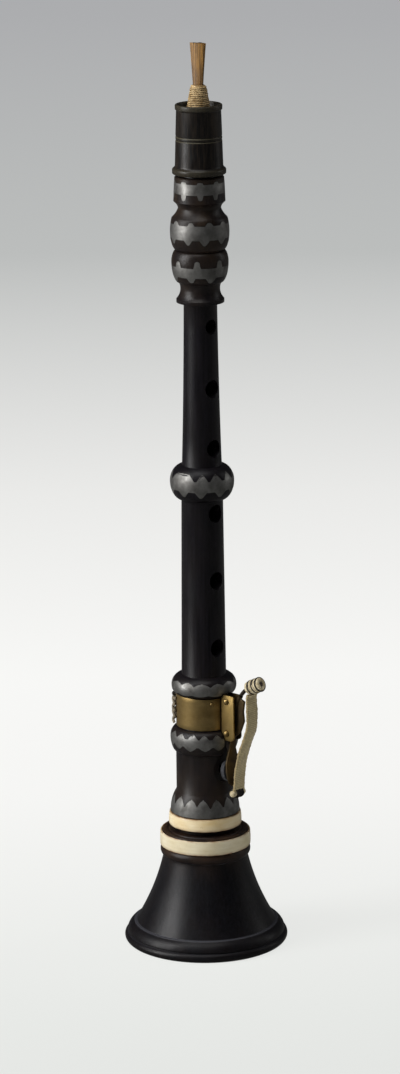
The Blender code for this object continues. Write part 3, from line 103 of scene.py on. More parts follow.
@dataclass
class Outline:
    """The outline of a turned piece in millimetres, drawn point by point as (radius, height)."""

    points: list[Point]

    def to(self, *points: Point) -> "Outline":
        """Adds straight stretches to these points."""
        self.points += points
        return self

    def arc(self, radius: float, z: float, swell: float, steps: int = 10) -> "Outline":
        """Adds a circular arc.

        Args:
            radius: the end's radius.
            z: the end's height.
            swell: how far the arc stands off its chord, away from the axis where it climbs.
            steps: how many straight pieces it gets.

        Returns:
            This outline.
        """
        r0, z0 = self.points[-1]
        run, rise = radius - r0, z - z0
        chord = hypot(run, rise)
        side = 1 if rise > 0 else -1
        out = (side * rise / chord, -side * run / chord)
        curve = (chord**2 / 4 + swell**2) / (2 * abs(swell))
        half = asin(min(1, chord / 2 / curve))
        for step in range(1, steps + 1):
            angle = half * (2 * step / steps - 1)
            along = 0.5 + curve * sin(angle) / chord
            off = (curve * cos(angle) - curve * cos(half)) * (1 if swell > 0 else -1)
            self.points.append((r0 + run * along + out[0] * off, z0 + rise * along + out[1] * off))
        return self

    def swell_to(self, radius: float, z: float, steps: int = 9) -> "Outline":
        """Adds a quarter ellipse up to a bead's widest place."""
        r0, z0 = self.points[-1]
        for step in range(1, steps + 1):
            angle = pi / 2 * step / steps
            self.points.append((r0 + (radius - r0) * sin(angle), z + (z0 - z) * cos(angle)))
        return self

    def draw_in(self, radius: float, z: float, steps: int = 9) -> "Outline":
        """Adds a quarter ellipse from a bead's widest place to the neck over it."""
        r0, z0 = self.points[-1]
        for step in range(steps - 1, -1, -1):
            angle = pi / 2 * step / steps
            self.points.append((radius + (r0 - radius) * sin(angle), z0 + (z - z0) * cos(angle)))
        return self

    def radius_at(self, z: float) -> float:
        """The outline's radius at a height where it climbs."""
        for (r0, z0), (r1, z1) in zip(self.points, self.points[1:]):
            if z0 <= z <= z1 and z1 > z0:
                return r0 + (r1 - r0) * (z - z0) / (z1 - z0)
        return self.points[-1][0]


# Modelling tools


def deselect() -> None:
    """Leaves edit mode and deselects everything."""
    if bpy.context.object and bpy.context.object.mode != "OBJECT":
        bpy.ops.object.mode_set(mode="OBJECT")
    bpy.ops.object.select_all(action="DESELECT")


def pick(piece: Piece, *others: Piece) -> None:
    """Selects these pieces only and makes the first active."""
    deselect()
    for each in (piece, *others):
        each.select_set(True)
    bpy.context.view_layer.objects.active = piece


def settle(piece: Piece, name: str) -> Piece:
    """Names a piece, applies its place, merges doubled points and turns its faces outwards."""
    pick(piece)
    bpy.ops.object.transform_apply(location=True, rotation=True, scale=True)
    bpy.ops.object.mode_set(mode="EDIT")
    bpy.ops.mesh.select_all(action="SELECT")
    bpy.ops.mesh.remove_doubles(threshold=MERGE)
    bpy.ops.mesh.normals_make_consistent(inside=False)
    bpy.ops.object.mode_set(mode="OBJECT")
    piece.name = piece.data.name = name
    return piece


def modify(piece: Piece, kind: str, **settings: object) -> Piece:
    """Adds one modifier with these settings and applies it."""
    pick(piece)
    modifier = piece.modifiers.new(kind.title(), kind)
    for name, setting in settings.items():
        setattr(modifier, name, setting)
    bpy.ops.object.modifier_apply(modifier=modifier.name)
    return piece


def round_edges(piece: Piece, width: float, segments: int = 2, angle: float = 40) -> Piece:
    """Rounds a piece's edges that are sharper than an angle in degrees by a width in millimetres."""
    size, limit = width * MM, radians(angle)
    return modify(piece, "BEVEL", width=size, segments=segments, limit_method="ANGLE", angle_limit=limit)


def thicken(piece: Piece, wall: float) -> Piece:
    """Gives a sheet a wall in millimetres, under its outer face."""
    return modify(piece, "SOLIDIFY", thickness=wall * MM, offset=-1)


def smooth(piece: Piece, angle: float = 40) -> Piece:
    """Shades a piece smooth up to an angle in degrees."""
    pick(piece)
    bpy.ops.object.shade_smooth_by_angle(angle=radians(angle))
    return piece


def lathe(name: str, outline: Outline, steps: int = 112, closed: bool = True) -> Piece:
    """Turns an outline: a point extruded along it, then spun round the axis.

    Args:
        name: the new piece's name.
        outline: the outline in millimetres.
        steps: how many faces go round.
        closed: whether the outline's last point joins its first.

    Returns:
        The turned object.
    """
    points = outline.points + (outline.points[:1] if closed else [])
    deselect()
    bpy.ops.mesh.primitive_plane_add(size=MM, location=(points[0][0] * MM, 0, points[0][1] * MM))
    piece = bpy.context.object
    bpy.ops.object.mode_set(mode="EDIT")
    bpy.ops.mesh.select_all(action="SELECT")
    bpy.ops.mesh.merge(type="CENTER")
    for (r0, z0), (r1, z1) in zip(points, points[1:]):
        move = ((r1 - r0) * MM, 0, (z1 - z0) * MM)
        bpy.ops.mesh.extrude_region_move(TRANSFORM_OT_translate={"value": move})
    bpy.ops.mesh.select_all(action="SELECT")
    bpy.ops.mesh.remove_doubles(threshold=MERGE)
    bpy.ops.mesh.select_all(action="SELECT")
    bpy.ops.mesh.spin(steps=steps, angle=2 * pi, center=(0, 0, 0), axis=(0, 0, 1), use_auto_merge=True)
    bpy.ops.object.mode_set(mode="OBJECT")
    return settle(piece, name)


def stand_out(piece: Piece, way: Vector, centre: Vector) -> Piece:
    """Moves a turned piece so that its axis runs along a direction from a centre in metres."""
    piece.matrix_world = Matrix.Translation(centre) @ way.to_track_quat("Z", "Y").to_matrix().to_4x4()
    return settle(piece, piece.name)


def sheet_of(name: str, columns: int, rows: int, place: Place) -> Piece:
    """A grid whose points are moved to their places on the piece.

    Args:
        name: the new piece's name.
        columns: how many faces lie along the first way.
        rows: how many faces lie along the second way.
        place: the place in metres of a point, from its two shares between 0 and 1.

    Returns:
        The shaped object, with its shares as its UV map.
    """
    deselect()
    bpy.ops.mesh.primitive_grid_add(x_subdivisions=columns, y_subdivisions=rows, size=2, calc_uvs=True)
    piece = bpy.context.object
    for vertex in piece.data.vertices:
        vertex.co = place((vertex.co.x + 1) / 2, (vertex.co.y + 1) / 2)
    return settle(piece, name)


def block(name: str, place: Callable[..., Vector], outs: Point, ups: Point, besides: Point) -> Piece:
    """A box between two distances out, two heights and two steps sideways, put there by a function."""
    deselect()
    bpy.ops.mesh.primitive_cube_add(size=2)
    piece = bpy.context.object
    for vertex in piece.data.vertices:
        x, y, z = (int(c > 0) for c in vertex.co)
        vertex.co = place(outs[y], ups[z], besides[x])
    return settle(piece, name)


def cylinder(name: str, start: Vector, end: Vector, radius: float, sides: int = 48) -> Piece:
    """A cylinder between two points in metres, with its radius in millimetres."""
    deselect()
    way = end - start
    bpy.ops.mesh.primitive_cylinder_add(
        vertices=sides,
        radius=radius * MM,
        depth=way.length,
        location=(start + end) / 2,
        rotation=way.to_track_quat("Z", "Y").to_euler(),
    )
    return settle(bpy.context.object, name)


def carve(piece: Piece, cutter: Piece, operation: str = "DIFFERENCE") -> Piece:
    """Cuts one piece out of another, or unites them, and deletes the second."""
    modify(piece, "BOOLEAN", operation=operation, solver="EXACT", object=cutter)
    bpy.data.objects.remove(cutter, do_unlink=True)
    return piece


def weld(name: str, piece: Piece, *others: Piece) -> Piece:
    """Unites pieces that overlap into one of a new name."""
    for other in others:
        carve(piece, other, "UNION")
    piece.name = piece.data.name = name
    return piece


def join(name: str, piece: Piece, *others: Piece) -> Piece:
    """Makes pieces that stay apart one object of a new name."""
    pick(piece, *others)
    bpy.ops.object.join()
    piece.name = piece.data.name = name
    return piece


def strand(
    name: str,
    points: Sequence[Vector],
    radius: float,
    radii: Optional[Sequence[float]] = None,
    resolution: int = 3,
) -> Piece:
    """A round strand through points, made a mesh.

    Args:
        name: the new piece's name.
        points: the centreline in metres.
        radius: the strand's radius in millimetres.
        radii: each point's share of that radius, or none where it is even.
        resolution: how round the strand is.

    Returns:
        The mesh object.
    """
    curve = bpy.data.curves.new(name, "CURVE")
    curve.dimensions = "3D"
    curve.bevel_depth = radius * MM
    curve.bevel_resolution = resolution
    curve.use_fill_caps = True
    spline = curve.splines.new("POLY")
    spline.points.add(len(points) - 1)
    for i, point in enumerate(points):
        spline.points[i].co = (*point, 1)
        spline.points[i].radius = radii[i] if radii else 1
    piece = bpy.data.objects.new(name, curve)
    bpy.context.scene.collection.objects.link(piece)
    pick(piece)
    bpy.ops.object.convert(target="MESH")
    return smooth(settle(bpy.context.object, name), 60)


def curved(points: Sequence[Point], step: float) -> list[Vector]:
    """Points about a step apart on a smooth curve through a flat route's own points."""
    own = [Vector((*point, 0)) for point in points]
    ends = [2 * own[0] - own[1], *own, 2 * own[-1] - own[-2]]
    route = [own[0]]
    for a, b, c, d in zip(ends, ends[1:], ends[2:], ends[3:]):
        pieces = max(1, round((c - b).length / step + 0.5))
        for i in range(1, pieces + 1):
            t = i / pieces
            bend = (2 * a - 5 * b + 4 * c - d) * t**2 + (3 * b - a - 3 * c + d) * t**3
            route.append(0.5 * (2 * b + (c - a) * t + bend))
    return route


@dataclass(frozen=True)
class Winding:
    """A strand wound round an axis in even turns. Sizes are in millimetres."""

    reach: Callable[[float], float]
    pitch: float
    turns: float
    steps: int = 28

    def line(self, start: Vector, way: Vector, side: Vector) -> list[Vector]:
        """The winding's centreline.

        Args:
            start: where its axis starts, in metres.
            way: the axis, as a unit vector.
            side: a unit vector square to the axis.

        Returns:
            The points in metres.
        """
        other = way.cross(side)
        points = []
        for i in range(int(self.turns * self.steps) + 1):
            angle = 2 * pi * i / self.steps + pi / 2
            along = self.pitch * i / self.steps
            spoke = side * cos(angle) + other * sin(angle)
            points.append(start + (way * along + spoke * self.reach(along)) * MM)
        return points


# Shader nodes


class Kind(NamedTuple):
    """How a kind of shader node is used here: its type, the inputs that are fed, its output and settings."""

    type: str
    inputs: tuple[Union[int, str], ...] = (0, 1)
    output: Union[int, str] = 0
    settings: dict[str, object] = {}


PLACE = Kind("ShaderNodeTexCoord", (), "Object")
FACE_SHARES = Kind("ShaderNodeUVMap", (), 0, {"uv_map": "UVMap"})
MAPPING = Kind("ShaderNodeMapping", ("Vector", "Scale"))
NOISE = Kind("ShaderNodeTexNoise", ("Vector", "Scale", "Detail"))
FIT = Kind("ShaderNodeMapRange", ("Value", "From Min", "From Max", "To Min", "To Max"))
RAMP = Kind("ShaderNodeValToRGB", (0,))
MIX = Kind("ShaderNodeMix", (0, 6, 7), 2, {"data_type": "RGBA"})
BUMP = Kind("ShaderNodeBump", ("Height", "Distance", "Strength"))
SHARED_WAY = Kind("ShaderNodeVectorMath", (0, 1), "Value", {"operation": "DOT_PRODUCT"})
X, Y, Z = (Kind("ShaderNodeSeparateXYZ", (0,), axis) for axis in range(3))
TIMES, PLUS, MINUS, MOST, SINE, SIZE = (
    Kind("ShaderNodeMath", (0, 1), 0, {"operation": operation})
    for operation in ("MULTIPLY", "ADD", "SUBTRACT", "MAXIMUM", "SINE", "ABSOLUTE")
)
# Ambient occlusion, read to paint shade into gaps.
OPEN_TO_ALL, OPEN_TO_ITSELF = (
    Kind("ShaderNodeAmbientOcclusion", ("Distance",), "AO", {"samples": 8, "only_local": alone})
    for alone in (False, True)
)
CAMERA_RAY, GLOSSY_RAY, THROUGH_RAY = (
    Kind("ShaderNodeLightPath", (), f"Is {ray} Ray") for ray in ("Camera", "Glossy", "Transmission")
)
PAPER = Kind("ShaderNodeBsdfDiffuse", ("Color",))
GLOW = Kind("ShaderNodeEmission", ("Color", "Strength"))
AIR = Kind("ShaderNodeBackground", ("Color", "Strength"))
BLEND = Kind("ShaderNodeMixShader", (0, 1, 2))
ROUND = (1.0, 1.0, 1.0)


@dataclass
class Shader:
    """A node tree, the node that its patterns feed, and the patterns that several finishes share."""

    tree: bpy.types.NodeTree
    surface: bpy.types.Node

    def add(self, kind: Kind, *values: object) -> Socket:
        """Adds a node with its settings and links.

        Args:
            kind: the kind of node.
            values: what feeds each of the kind's inputs: a socket, a constant or a hex colour.

        Returns:
            The node's output.
        """
        made = self.tree.nodes.new(kind.type)
        for name, setting in kind.settings.items():
            setattr(made, name, setting)
        for name, value in zip(kind.inputs, values):
            if isinstance(value, Socket):
                self.tree.links.new(value, made.inputs[name])
            else:
                made.inputs[name].default_value = linear(value) if isinstance(value, str) else value
        return made.outputs[kind.output]

    def ramp(self, value: Socket, unit: float, stops: Sequence[tuple[float, Union[float, str]]]) -> Socket:
        """Turns a value to a colour between stops.

        Args:
            value: the socket with the value.
            unit: what one unit of the stops' values measures in the socket's.
            stops: each stop's value, and its hex colour or its share between black and white.

        Returns:
            The colour socket.
        """
        low, high = stops[0][0], stops[-1][0]
        made = self.add(RAMP, self.add(FIT, value, low * unit, high * unit))
        elements = made.node.color_ramp.elements
        for number, (place, tone) in enumerate(stops):
            stop = elements[number] if number < 2 else elements.new(1.0)
            stop.position = (place - low) / (high - low)
            stop.color = linear(tone) if isinstance(tone, str) else (tone, tone, tone, 1)
        return made

    def spots(
        self,
        size: float,
        stretch: Sequence[float] = ROUND,
        detail: float = 3,
        low: float = 0.35,
        high: float = 0.65,
    ) -> Socket:
        """Noise in the object's own place.

        Args:
            size: the width of a spot in millimetres.
            stretch: how many times longer a spot is along each axis.
            detail: how many finer layers it has.
            low: the noise value that becomes 0.
            high: the noise value that becomes 1.

        Returns:
            A socket from 0 to 1.
        """
        mapped = self.add(MAPPING, self.add(PLACE), tuple(1 / s for s in stretch))
        return self.add(FIT, self.add(NOISE, mapped, 1 / MM / size, detail), low, high)

    def turning(self, spacing: float) -> Socket:
        """Faint rings round the axis, about this many millimetres apart."""
        return self.spots(spacing, (400, 400, 1), 2, 0.3, 0.7)

    def height(self) -> Socket:
        """The height over the foot in metres."""
        return self.add(Z, self.add(PLACE))

    def by_height(self, stops: Sequence[Point]) -> Socket:
        """A share that follows the height, from stops of a height in millimetres and its share."""
        return self.ramp(self.height(), MM, stops)

    def crevice(self, openness: Kind, reach: float) -> Socket:
        """A share of painted shade: 1 in a gap whose other side is within a reach in millimetres, and 0 in
        the open.
        """
        deep, open_enough = 0.40, 0.92
        return self.add(FIT, self.add(openness, reach * MM), deep, open_enough, 1.0, 0.0)

    def coat(self, colour: Socket, height: Socket, depth: float, roughness: Optional[Socket] = None) -> None:
        """Feeds the surface its colour, a bump with its depth in millimetres, and a roughness if given."""
        bump = self.add(BUMP, height, depth * MM, 1.0)
        for name, socket in (("Base Color", colour), ("Normal", bump), ("Roughness", roughness)):
            if socket is not None:
                self.tree.links.new(socket, self.surface.inputs[name])


# Finishes


@dataclass(frozen=True)
class Finish:
    """A surface's colours and gloss. Each kind adds the pattern that the real surface has."""

    name: str
    slot: str
    colour: str
    second: str
    roughness: float
    metallic: float = 0.0
    specular: float = 0.5

    def material(self) -> bpy.types.Material:
        """The material, made the first time that a piece asks for it."""
        found = bpy.data.materials.get(self.name)
        if found:
            return found
        made = bpy.data.materials.new(self.name)
        made.use_nodes = True
        surface = made.node_tree.nodes["Principled BSDF"]
        surface.inputs["Metallic"].default_value = self.metallic
        surface.inputs["Specular IOR Level"].default_value = self.specular
        surface.inputs["Roughness"].default_value = self.roughness
        made.diffuse_color = linear(self.colour)
        self.paint(Shader(made.node_tree, surface))
        return made

    def paint(self, shader: Shader) -> None:
        """Adds this finish's pattern to the shader."""
        raise NotImplementedError

    def varied(self, shader: Shader, share: Socket, less: float, more: float) -> Socket:
        """A roughness that follows a share, from less than the finish's own to more."""
        return shader.add(FIT, share, 0, 1, self.roughness - less, self.roughness + more)


@dataclass(frozen=True)
class TurnedWood(Finish):
    """Oiled blackwood, turned: nearly black, with finer pores along the grain and faint tool rings.

    The eye sees a dull satin black with long soft streaks, a warm tint where the oil has worn, and a
    broad soft highlight.
    """

    warm: str = "#3a2a20"
    # A lighter grey, painted as a highlight along edges that catch the light, and its share by height.
    wear_and_highlight: str = "#3d3d42"
    warm_zones: tuple[Point, ...] = ((0, 0), (400, 0))
    highlight_edges: tuple[Point, ...] = ((0, 0), (400, 0))
    ring: float = 0.3

    def paint(self, shader: Shader) -> None:
        """Long streaks, warm zones where hands and oil have worn it, a painted highlight along some edges,
        pores 0.25 mm wide and tool rings.
        """
        add, spots = shader.add, shader.spots
        base = add(MIX, spots(0.9, (1, 1, 26), 4, 0.36, 0.66), self.colour, self.second)
        patches = add(FIT, spots(7, (1, 1, 1.6), 5, 0.34, 0.66), 0, 1, 0.25, 1.0)
        worn = add(MIX, add(TIMES, patches, shader.by_height(self.warm_zones)), base, self.warm)
        # Painted highlight: the lighter grey along the edges given by height.
        wear_and_highlight = add(MIX, shader.by_height(self.highlight_edges), worn, self.wear_and_highlight)
        pores = spots(0.25, (1, 1, 9), 2, 0.52, 0.72)
        height = add(MINUS, add(TIMES, shader.turning(0.5), self.ring), pores)
        shader.coat(wear_and_highlight, height, 0.018, self.varied(shader, spots(9, (1, 1, 3), 5, 0.3, 0.7), 0.07, 0.10))


@dataclass(frozen=True)
class PolishedHorn(Finish):
    """Dark cow horn, turned and polished: black-brown with cloudy amber streaks and a soft shine.

    Its rim, its twin lines and its flange have worn to an olive grey.
    """

    olive: str = "#5c5745"
    worn: tuple[Point, ...] = ((0, 0), (400, 0))

    def paint(self, shader: Shader) -> None:
        """Amber clouds 7 mm wide, drawn out along the horn, and hairline growth streaks."""
        add, spots = shader.add, shader.spots
        clouds = spots(7, (1, 1, 4), 5, 0.50, 0.78)
        hairs = spots(0.4, (1, 1, 30), 3, 0.42, 0.62)
        base = add(MIX, add(TIMES, hairs, 0.45), self.colour, self.second)
        cloudy = add(MIX, add(TIMES, clouds, 0.6), base, self.second)
        wear_and_highlight = add(TIMES, shader.by_height(self.worn), add(FIT, clouds, 0, 1, 1.0, 0.5))
        scuffs = spots(3, (1, 1, 1.5), 5, 0.3, 0.7)
        dull = self.varied(shader, scuffs, 0.06, 0.14)
        shader.coat(add(MIX, wear_and_highlight, cloudy, self.olive), hairs, 0.010, dull)


@dataclass(frozen=True)
class AgedBone(Finish):
    """Turned bone: creamy and satin, yellowed in patches, with brown stains, painted shade and a painted
    brown glow along both edges.
    """

    low: float = 0.0
    high: float = 1.0
    marks: str = "#8d7145"
    edge_stain_and_shade: str = "#7a4a20"

    def paint(self, shader: Shader) -> None:
        """Yellowed patches 12 mm wide, turning lines, short marrow marks, and edges browned by stains and
        painted shade.
        """
        add, spots, low, high = shader.add, shader.spots, self.low, self.high
        patches = spots(12, (1, 1, 0.5), 4, 0.36, 0.70)
        lines = shader.turning(0.9)
        marrow = spots(0.5, (1, 1, 3), 3, 0.64, 0.80)
        base = add(MIX, patches, self.colour, self.second)
        lined = add(MIX, add(TIMES, lines, 0.35), base, self.second)
        marked = add(MIX, add(TIMES, marrow, 0.5), lined, self.marks)
        # Both edges go brown: stains together with painted shade and a painted warm glow from the wood beside
        # them.
        lower = ((low, 1.0), (low + 0.5, 0.35), (low + 1.3, 0.0))
        upper = ((high - 1.0, 0.0), (high - 0.35, 0.25), (high, 0.9))
        edges = shader.by_height(lower + upper)
        stained_and_shaded = add(MIX, add(TIMES, edges, spots(3, ROUND, 4, 0.2, 0.62)), marked, self.edge_stain_and_shade)
        shader.coat(stained_and_shaded, add(MINUS, lines, marrow), 0.012, self.varied(shader, patches, 0.0, 0.12))


@dataclass(frozen=True)
class CastPewter(Finish):
    """Pewter cast into the wood and turned flush: grey, soft-edged, dulled and finely scratched."""

    pit: str = "#4a4945"
    dirt: str = "#23201e"

    def paint(self, shader: Shader) -> None:
        """Tarnish clouds 5 mm wide, pits 0.3 mm wide, scratches round the turning and a dirty joint."""
        add, spots = shader.add, shader.spots
        clouds = spots(5, ROUND, 6, 0.34, 0.70)
        pits = spots(0.3, ROUND, 2, 0.70, 0.82)
        pitted = add(MIX, pits, add(MIX, clouds, self.colour, self.second), self.pit)
        from_middle = add(SIZE, add(MINUS, add(Y, add(FACE_SHARES)), 0.5))
        joined = add(MIX, add(FIT, from_middle, 0.455, 0.495), pitted, self.dirt)
        scratches = spots(0.12, (30, 30, 1), 3, 0.35, 0.7)
        dull = self.varied(shader, add(PLUS, scratches, clouds), 0.08, 0.12)
        shader.coat(joined, add(MINUS, scratches, pits), 0.006, dull)


@dataclass(frozen=True)
class SheetBrass(Finish):
    """Hammered and filed sheet brass: dull gold with brown tarnish in clouds, darkened by painted shade in
    its corners.

    Shaded gives the two steps sideways from the key's plane between which painted shadow darkens the brass.
    """

    grime_and_shade: str = "#241a0d"
    shaded: Optional[Point] = None

    def paint(self, shader: Shader) -> None:
        """Tarnish clouds 6 mm wide, dark specks 0.5 mm wide, brushing round it and painted shade in the gaps.
        """
        add, spots = shader.add, shader.spots
        clouds = spots(6, (1, 1, 0.8), 6, 0.32, 0.72)
        specks = spots(0.5, ROUND, 3, 0.68, 0.82)
        filed = shader.turning(0.35)
        base = add(MIX, clouds, self.colour, self.second)
        brushed = add(MIX, add(TIMES, filed, 0.35), base, self.second)
        # Dark specks, and painted shade where another surface is near.
        specks_and_shade = add(MOST, add(TIMES, specks, 0.7), shader.crevice(OPEN_TO_ALL, 0.9))
        if self.shaded:
            # Painted shadow over the far side of the key's plane, between the two steps given.
            beside = add(SHARED_WAY, add(PLACE), tuple(sideways(KEY_AZIMUTH)))
            specks_and_shade = add(MOST, specks_and_shade, add(FIT, beside, *(step * MM for step in self.shaded), 0.0, 0.92))
        worn = self.varied(shader, clouds, 0.06, 0.14)
        shader.coat(add(MIX, specks_and_shade, brushed, self.grime_and_shade), add(MINUS, filed, specks), 0.006, worn)


@dataclass(frozen=True)
class ScrapedCane(Finish):
    """Reed cane, split and scraped: straw brown with straight dark fibres and stained lower ends."""

    stained_and_shaded: str = "#4f3516"
    foot: float = 366.0
    top: float = 391.0

    def paint(self, shader: Shader) -> None:
        """Fibre bundles 0.4 mm wide along the reed, and a brown stain that fades towards the tip."""
        add, spots = shader.add, shader.spots
        fibres = spots(0.42, (1, 1, 40), 4, 0.40, 0.60)
        low = add(FIT, shader.height(), self.foot * MM, self.top * MM, 1.0, 0.25)
        patches = add(FIT, spots(2.5, (1, 1, 3), 4, 0.3, 0.7), 0, 1, 0.35, 1.0)
        base = add(MIX, fibres, self.colour, self.second)
        shader.coat(add(MIX, add(TIMES, low, patches), base, self.stained_and_shaded), fibres, 0.02)


@dataclass(frozen=True)
class WaxedThread(Finish):
    """Twisted linen thread with wax: short highlights of its plies, and painted shade between its turns."""

    ply: float = 0.5
    grime_and_shade: str = "#2b1f12"

    def paint(self, shader: Shader) -> None:
        """Plies as small bumps, stains 1.5 mm wide, and painted shade where two turns meet."""
        add, spots = shader.add, shader.spots
        plies = spots(self.ply, (1, 1, 0.5), 2, 0.3, 0.7)
        base = add(MIX, spots(1.5, ROUND, 4, 0.35, 0.7), self.colour, self.second)
        shaded = add(MIX, add(TIMES, plies, 0.35), base, self.second)
        # Painted shade, darker where two turns meet.
        shader.coat(add(MIX, shader.crevice(OPEN_TO_ITSELF, 0.7), shaded, self.grime_and_shade), plies, 0.06)


@dataclass(frozen=True)
class WovenTape(Finish):
    """Cotton tape in a plain weave, soiled: warp and weft show as small raised squares.

    Real threads are 0.35 mm apart. They are drawn 0.8 mm apart, because finer ones don't show here.
    """

    soil: str = "#8a7a58"
    speck: str = "#4d3f29"
    width: float = 6.6
    length: float = 46.0
    spacing: float = 0.8
    sheen: float = 0.25

    def paint(self, shader: Shader) -> None:
        """Warp and weft as two sine waves on the tape's own UV map, with soiling 2 mm wide."""
        add, spots = shader.add, shader.spots
        ribs = []
        for axis, extent in ((X, self.width), (Y, self.length)):
            angle = add(TIMES, add(axis, add(FACE_SHARES)), extent / self.spacing * pi)
            ribs.append(add(SIZE, add(SINE, angle)))
        weave = add(TIMES, *ribs)
        thread = add(MIX, weave, self.second, self.colour)
        soiled = add(MIX, add(TIMES, spots(2, (1, 1, 1.5), 5, 0.38, 0.68), 0.6), thread, self.soil)
        specked = add(MIX, add(TIMES, spots(0.45, ROUND, 2, 0.62, 0.74), 0.6), soiled, self.speck)
        shader.surface.inputs["Sheen Weight"].default_value = self.sheen
        shader.coat(specked, weave, 0.12)


@dataclass(frozen=True)
class SoftLeather(Finish):
    """Key leather: matt dark grey suede, with a fine nap."""

    def paint(self, shader: Shader) -> None:
        """A nap 0.2 mm wide over stains 2 mm wide."""
        stained_and_shaded = shader.add(MIX, shader.spots(2, ROUND, 4), self.colour, self.second)
        shader.coat(stained_and_shaded, shader.spots(0.2), 0.04)


BODY_WOOD = TurnedWood(
    "oiled_blackwood", "blackwood", "#08070b", "#121016", 0.34, specular=0.24, warm="#2e241b",
    warm_zones=(
        (28, 0.5), (55, 0.8), (75, 0.55), (100, 0.4), (130, 0.12),
        (270, 0.08), (283, 0.35), (292, 0.7), (349, 0.9),
    ),
)
BELL_WOOD = TurnedWood(
    "dull_blackwood", "blackwood", "#07070b", "#0f0f14", 0.38, specular=0.24, warm="#36261a",
    warm_zones=((0, 0.12), (9, 0.08), (30, 0.06), (38, 0.3), (43, 0.9), (50, 1.0)),
    # Painted highlights on the edges of the step, the ovolo and the bead's foot.
    highlight_edges=(
        (0, 0), (3.5, 0), (3.7, 0.4), (3.9, 0), (8.2, 0), (8.4, 1.0), (8.6, 0.6), (8.8, 0),
        (38.5, 0), (38.8, 0.6), (39.1, 0),
    ),
    ring=0.9,
)
HORN = PolishedHorn(
    "polished_horn", "horn", "#0b0909", "#2f261d", 0.34, specular=0.27,
    worn=(
        (335.9, 0.15), (338.2, 0.2), (338.9, 0.0), (349.7, 0.0), (349.95, 0.75), (350.2, 0.05), (351.2, 0.05),
        (351.5, 0.7), (351.8, 0.05), (352.0, 0.0), (362.6, 0.0), (363.2, 0.2), (365.0, 0.25),
    ),
)
BONE = AgedBone("aged_bone", "bone", "#dcd2b8", "#c4b48d", 0.40, low=43.2, high=49.4)
PALE_BONE = AgedBone("pale_bone", "bone", "#e6d8b8", "#d0b683", 0.38, low=52.5, high=57.9)
PEWTER = CastPewter("cast_pewter", "pewter", "#92918e", "#5f5d5a", 0.41, 0.9)
BRASS = SheetBrass("sheet_brass", "brass", "#b59a65", "#806a40", 0.42, 0.92)
# Its far cheek gets painted shadow between the two steps given.
SADDLE_BRASS = SheetBrass("filed_brass", "brass", "#b09560", "#86703f", 0.42, 0.92, shaded=(-0.6, 1.6))
# The lever's brass is kept dark: tarnish, with painted shade because the lever stands in shadow.
DARK_BRASS = SheetBrass("tarnished_and_shaded_brass", "dark_brass", "#55452a", "#2b2216", 0.45, 0.75, grime_and_shade="#120d08")
DARK_STEEL = SheetBrass("browned_steel", "steel", "#4a4038", "#241e1a", 0.48, 0.7, grime_and_shade="#0c0907")
CANE = ScrapedCane("scraped_cane", "cane", "#a87a33", "#583c15", 0.5)
PALE_THREAD = WaxedThread("waxed_linen", "thread", "#d0b585", "#8f7040", 0.62)
LACING_THREAD = WaxedThread("soiled_linen", "thread", "#a0957f", "#51483a", 0.7)
DARK_THREAD = WaxedThread("dark_waxed_linen", "dark_thread", "#2b221a", "#15100c", 0.7, grime_and_shade="#0a0705")
TAPE = WovenTape("woven_cotton_tape", "tape", "#dccb9c", "#8d7a50", 0.85)
TAPE_WOUND = WaxedThread("wound_cotton_tape", "tape", "#d9cdae", "#9b8a66", 0.85, ply=0.6, grime_and_shade="#2a1e12")
LEATHER = SoftLeather("key_leather", "leather", "#3d3e42", "#26262a", 0.9)


def hand_over(piece: Piece, section: Section, finish: Finish, node: str) -> Piece:
    """Gives a finished piece its surface and its body, and hides the solid node that it stands for.

    Args:
        piece: the finished mesh object. One that has materials already keeps them.
        section: the body that it rides on.
        finish: its surface.
        node: the solid node that it replaces.

    Returns:
        The same object.
    """
    if not piece.data.materials:
        piece.data.materials.append(finish.material())
    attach(piece, section.value)
    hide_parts(node)
    log.info("%s: %d faces", piece.name, len(piece.data.polygons))
    return piece


def dress_node(node: str, finish: Finish) -> None:
    """Gives a solid node that stays in view a better material."""
    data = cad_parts[node].data
    data.materials.clear()
    data.materials.append(finish.material())


# The instrument


@dataclass
class Bell:
    """The bell with its foot, rim bead, ovolo, hollow cone, ledge and bone ring."""

    height: float = 50.0
    socket_radius: float = 11.5
    socket_floor: float = 27.2
    throat_radius: float = 8.6
    mouth_radius: float = 31.7
    ring_inner: float = 18.8
    ring_radius: float = 19.6
    ring_foot: float = 43.2
    ring_top: float = 49.4

    def build(self) -> None:
        """Makes the bell and its ring."""
        outer = Outline([(34.1, 0)]).arc(34.4, 3.6, 1.1).to((33.7, 3.75), (33.7, 4.1), (34.2, 4.25))
        outer.arc(31.2, 8.2, 0.6).to((31.0, 8.5), (30.1, 8.5), (29.95, 8.8))
        outer.arc(18.2, 38.4, -1.25, 22).to((18.2, 38.6), (18.6, 38.8)).arc(18.5, 42.9, 0.9)
        outer.to((18.5, 49.2), (18.3, 49.8), (17.8, 50.0), (16.7, 50.0))
        outer.to((16.3, 49.5), (15.7, 49.5), (15.4, 50.0))
        outer.to((self.socket_radius + 0.4, self.height), (self.socket_radius, self.height - 0.4))
        outer.to((self.socket_radius, self.socket_floor), (self.throat_radius, self.socket_floor))
        outer.arc(self.mouth_radius, 0, -3.0, 24)
        bell = round_edges(lathe("turned_bell", outer, 144), 0.12, 2, 50)
        hand_over(smooth(bell), Section.BELL, BELL_WOOD, "bell")
        ring = Outline([(self.ring_inner, self.ring_foot), (self.ring_radius - 0.1, self.ring_foot)])
        ring.arc(self.ring_radius - 0.2, self.ring_top - 0.35, 0.12, 6)
        ring.to((self.ring_radius - 0.45, self.ring_top), (self.ring_inner, self.ring_top))
        turned = round_edges(lathe("bell_ring_of_bone", ring, 128), 0.08)
        hand_over(smooth(turned), Section.BELL, BONE, "bell_bone_ring")


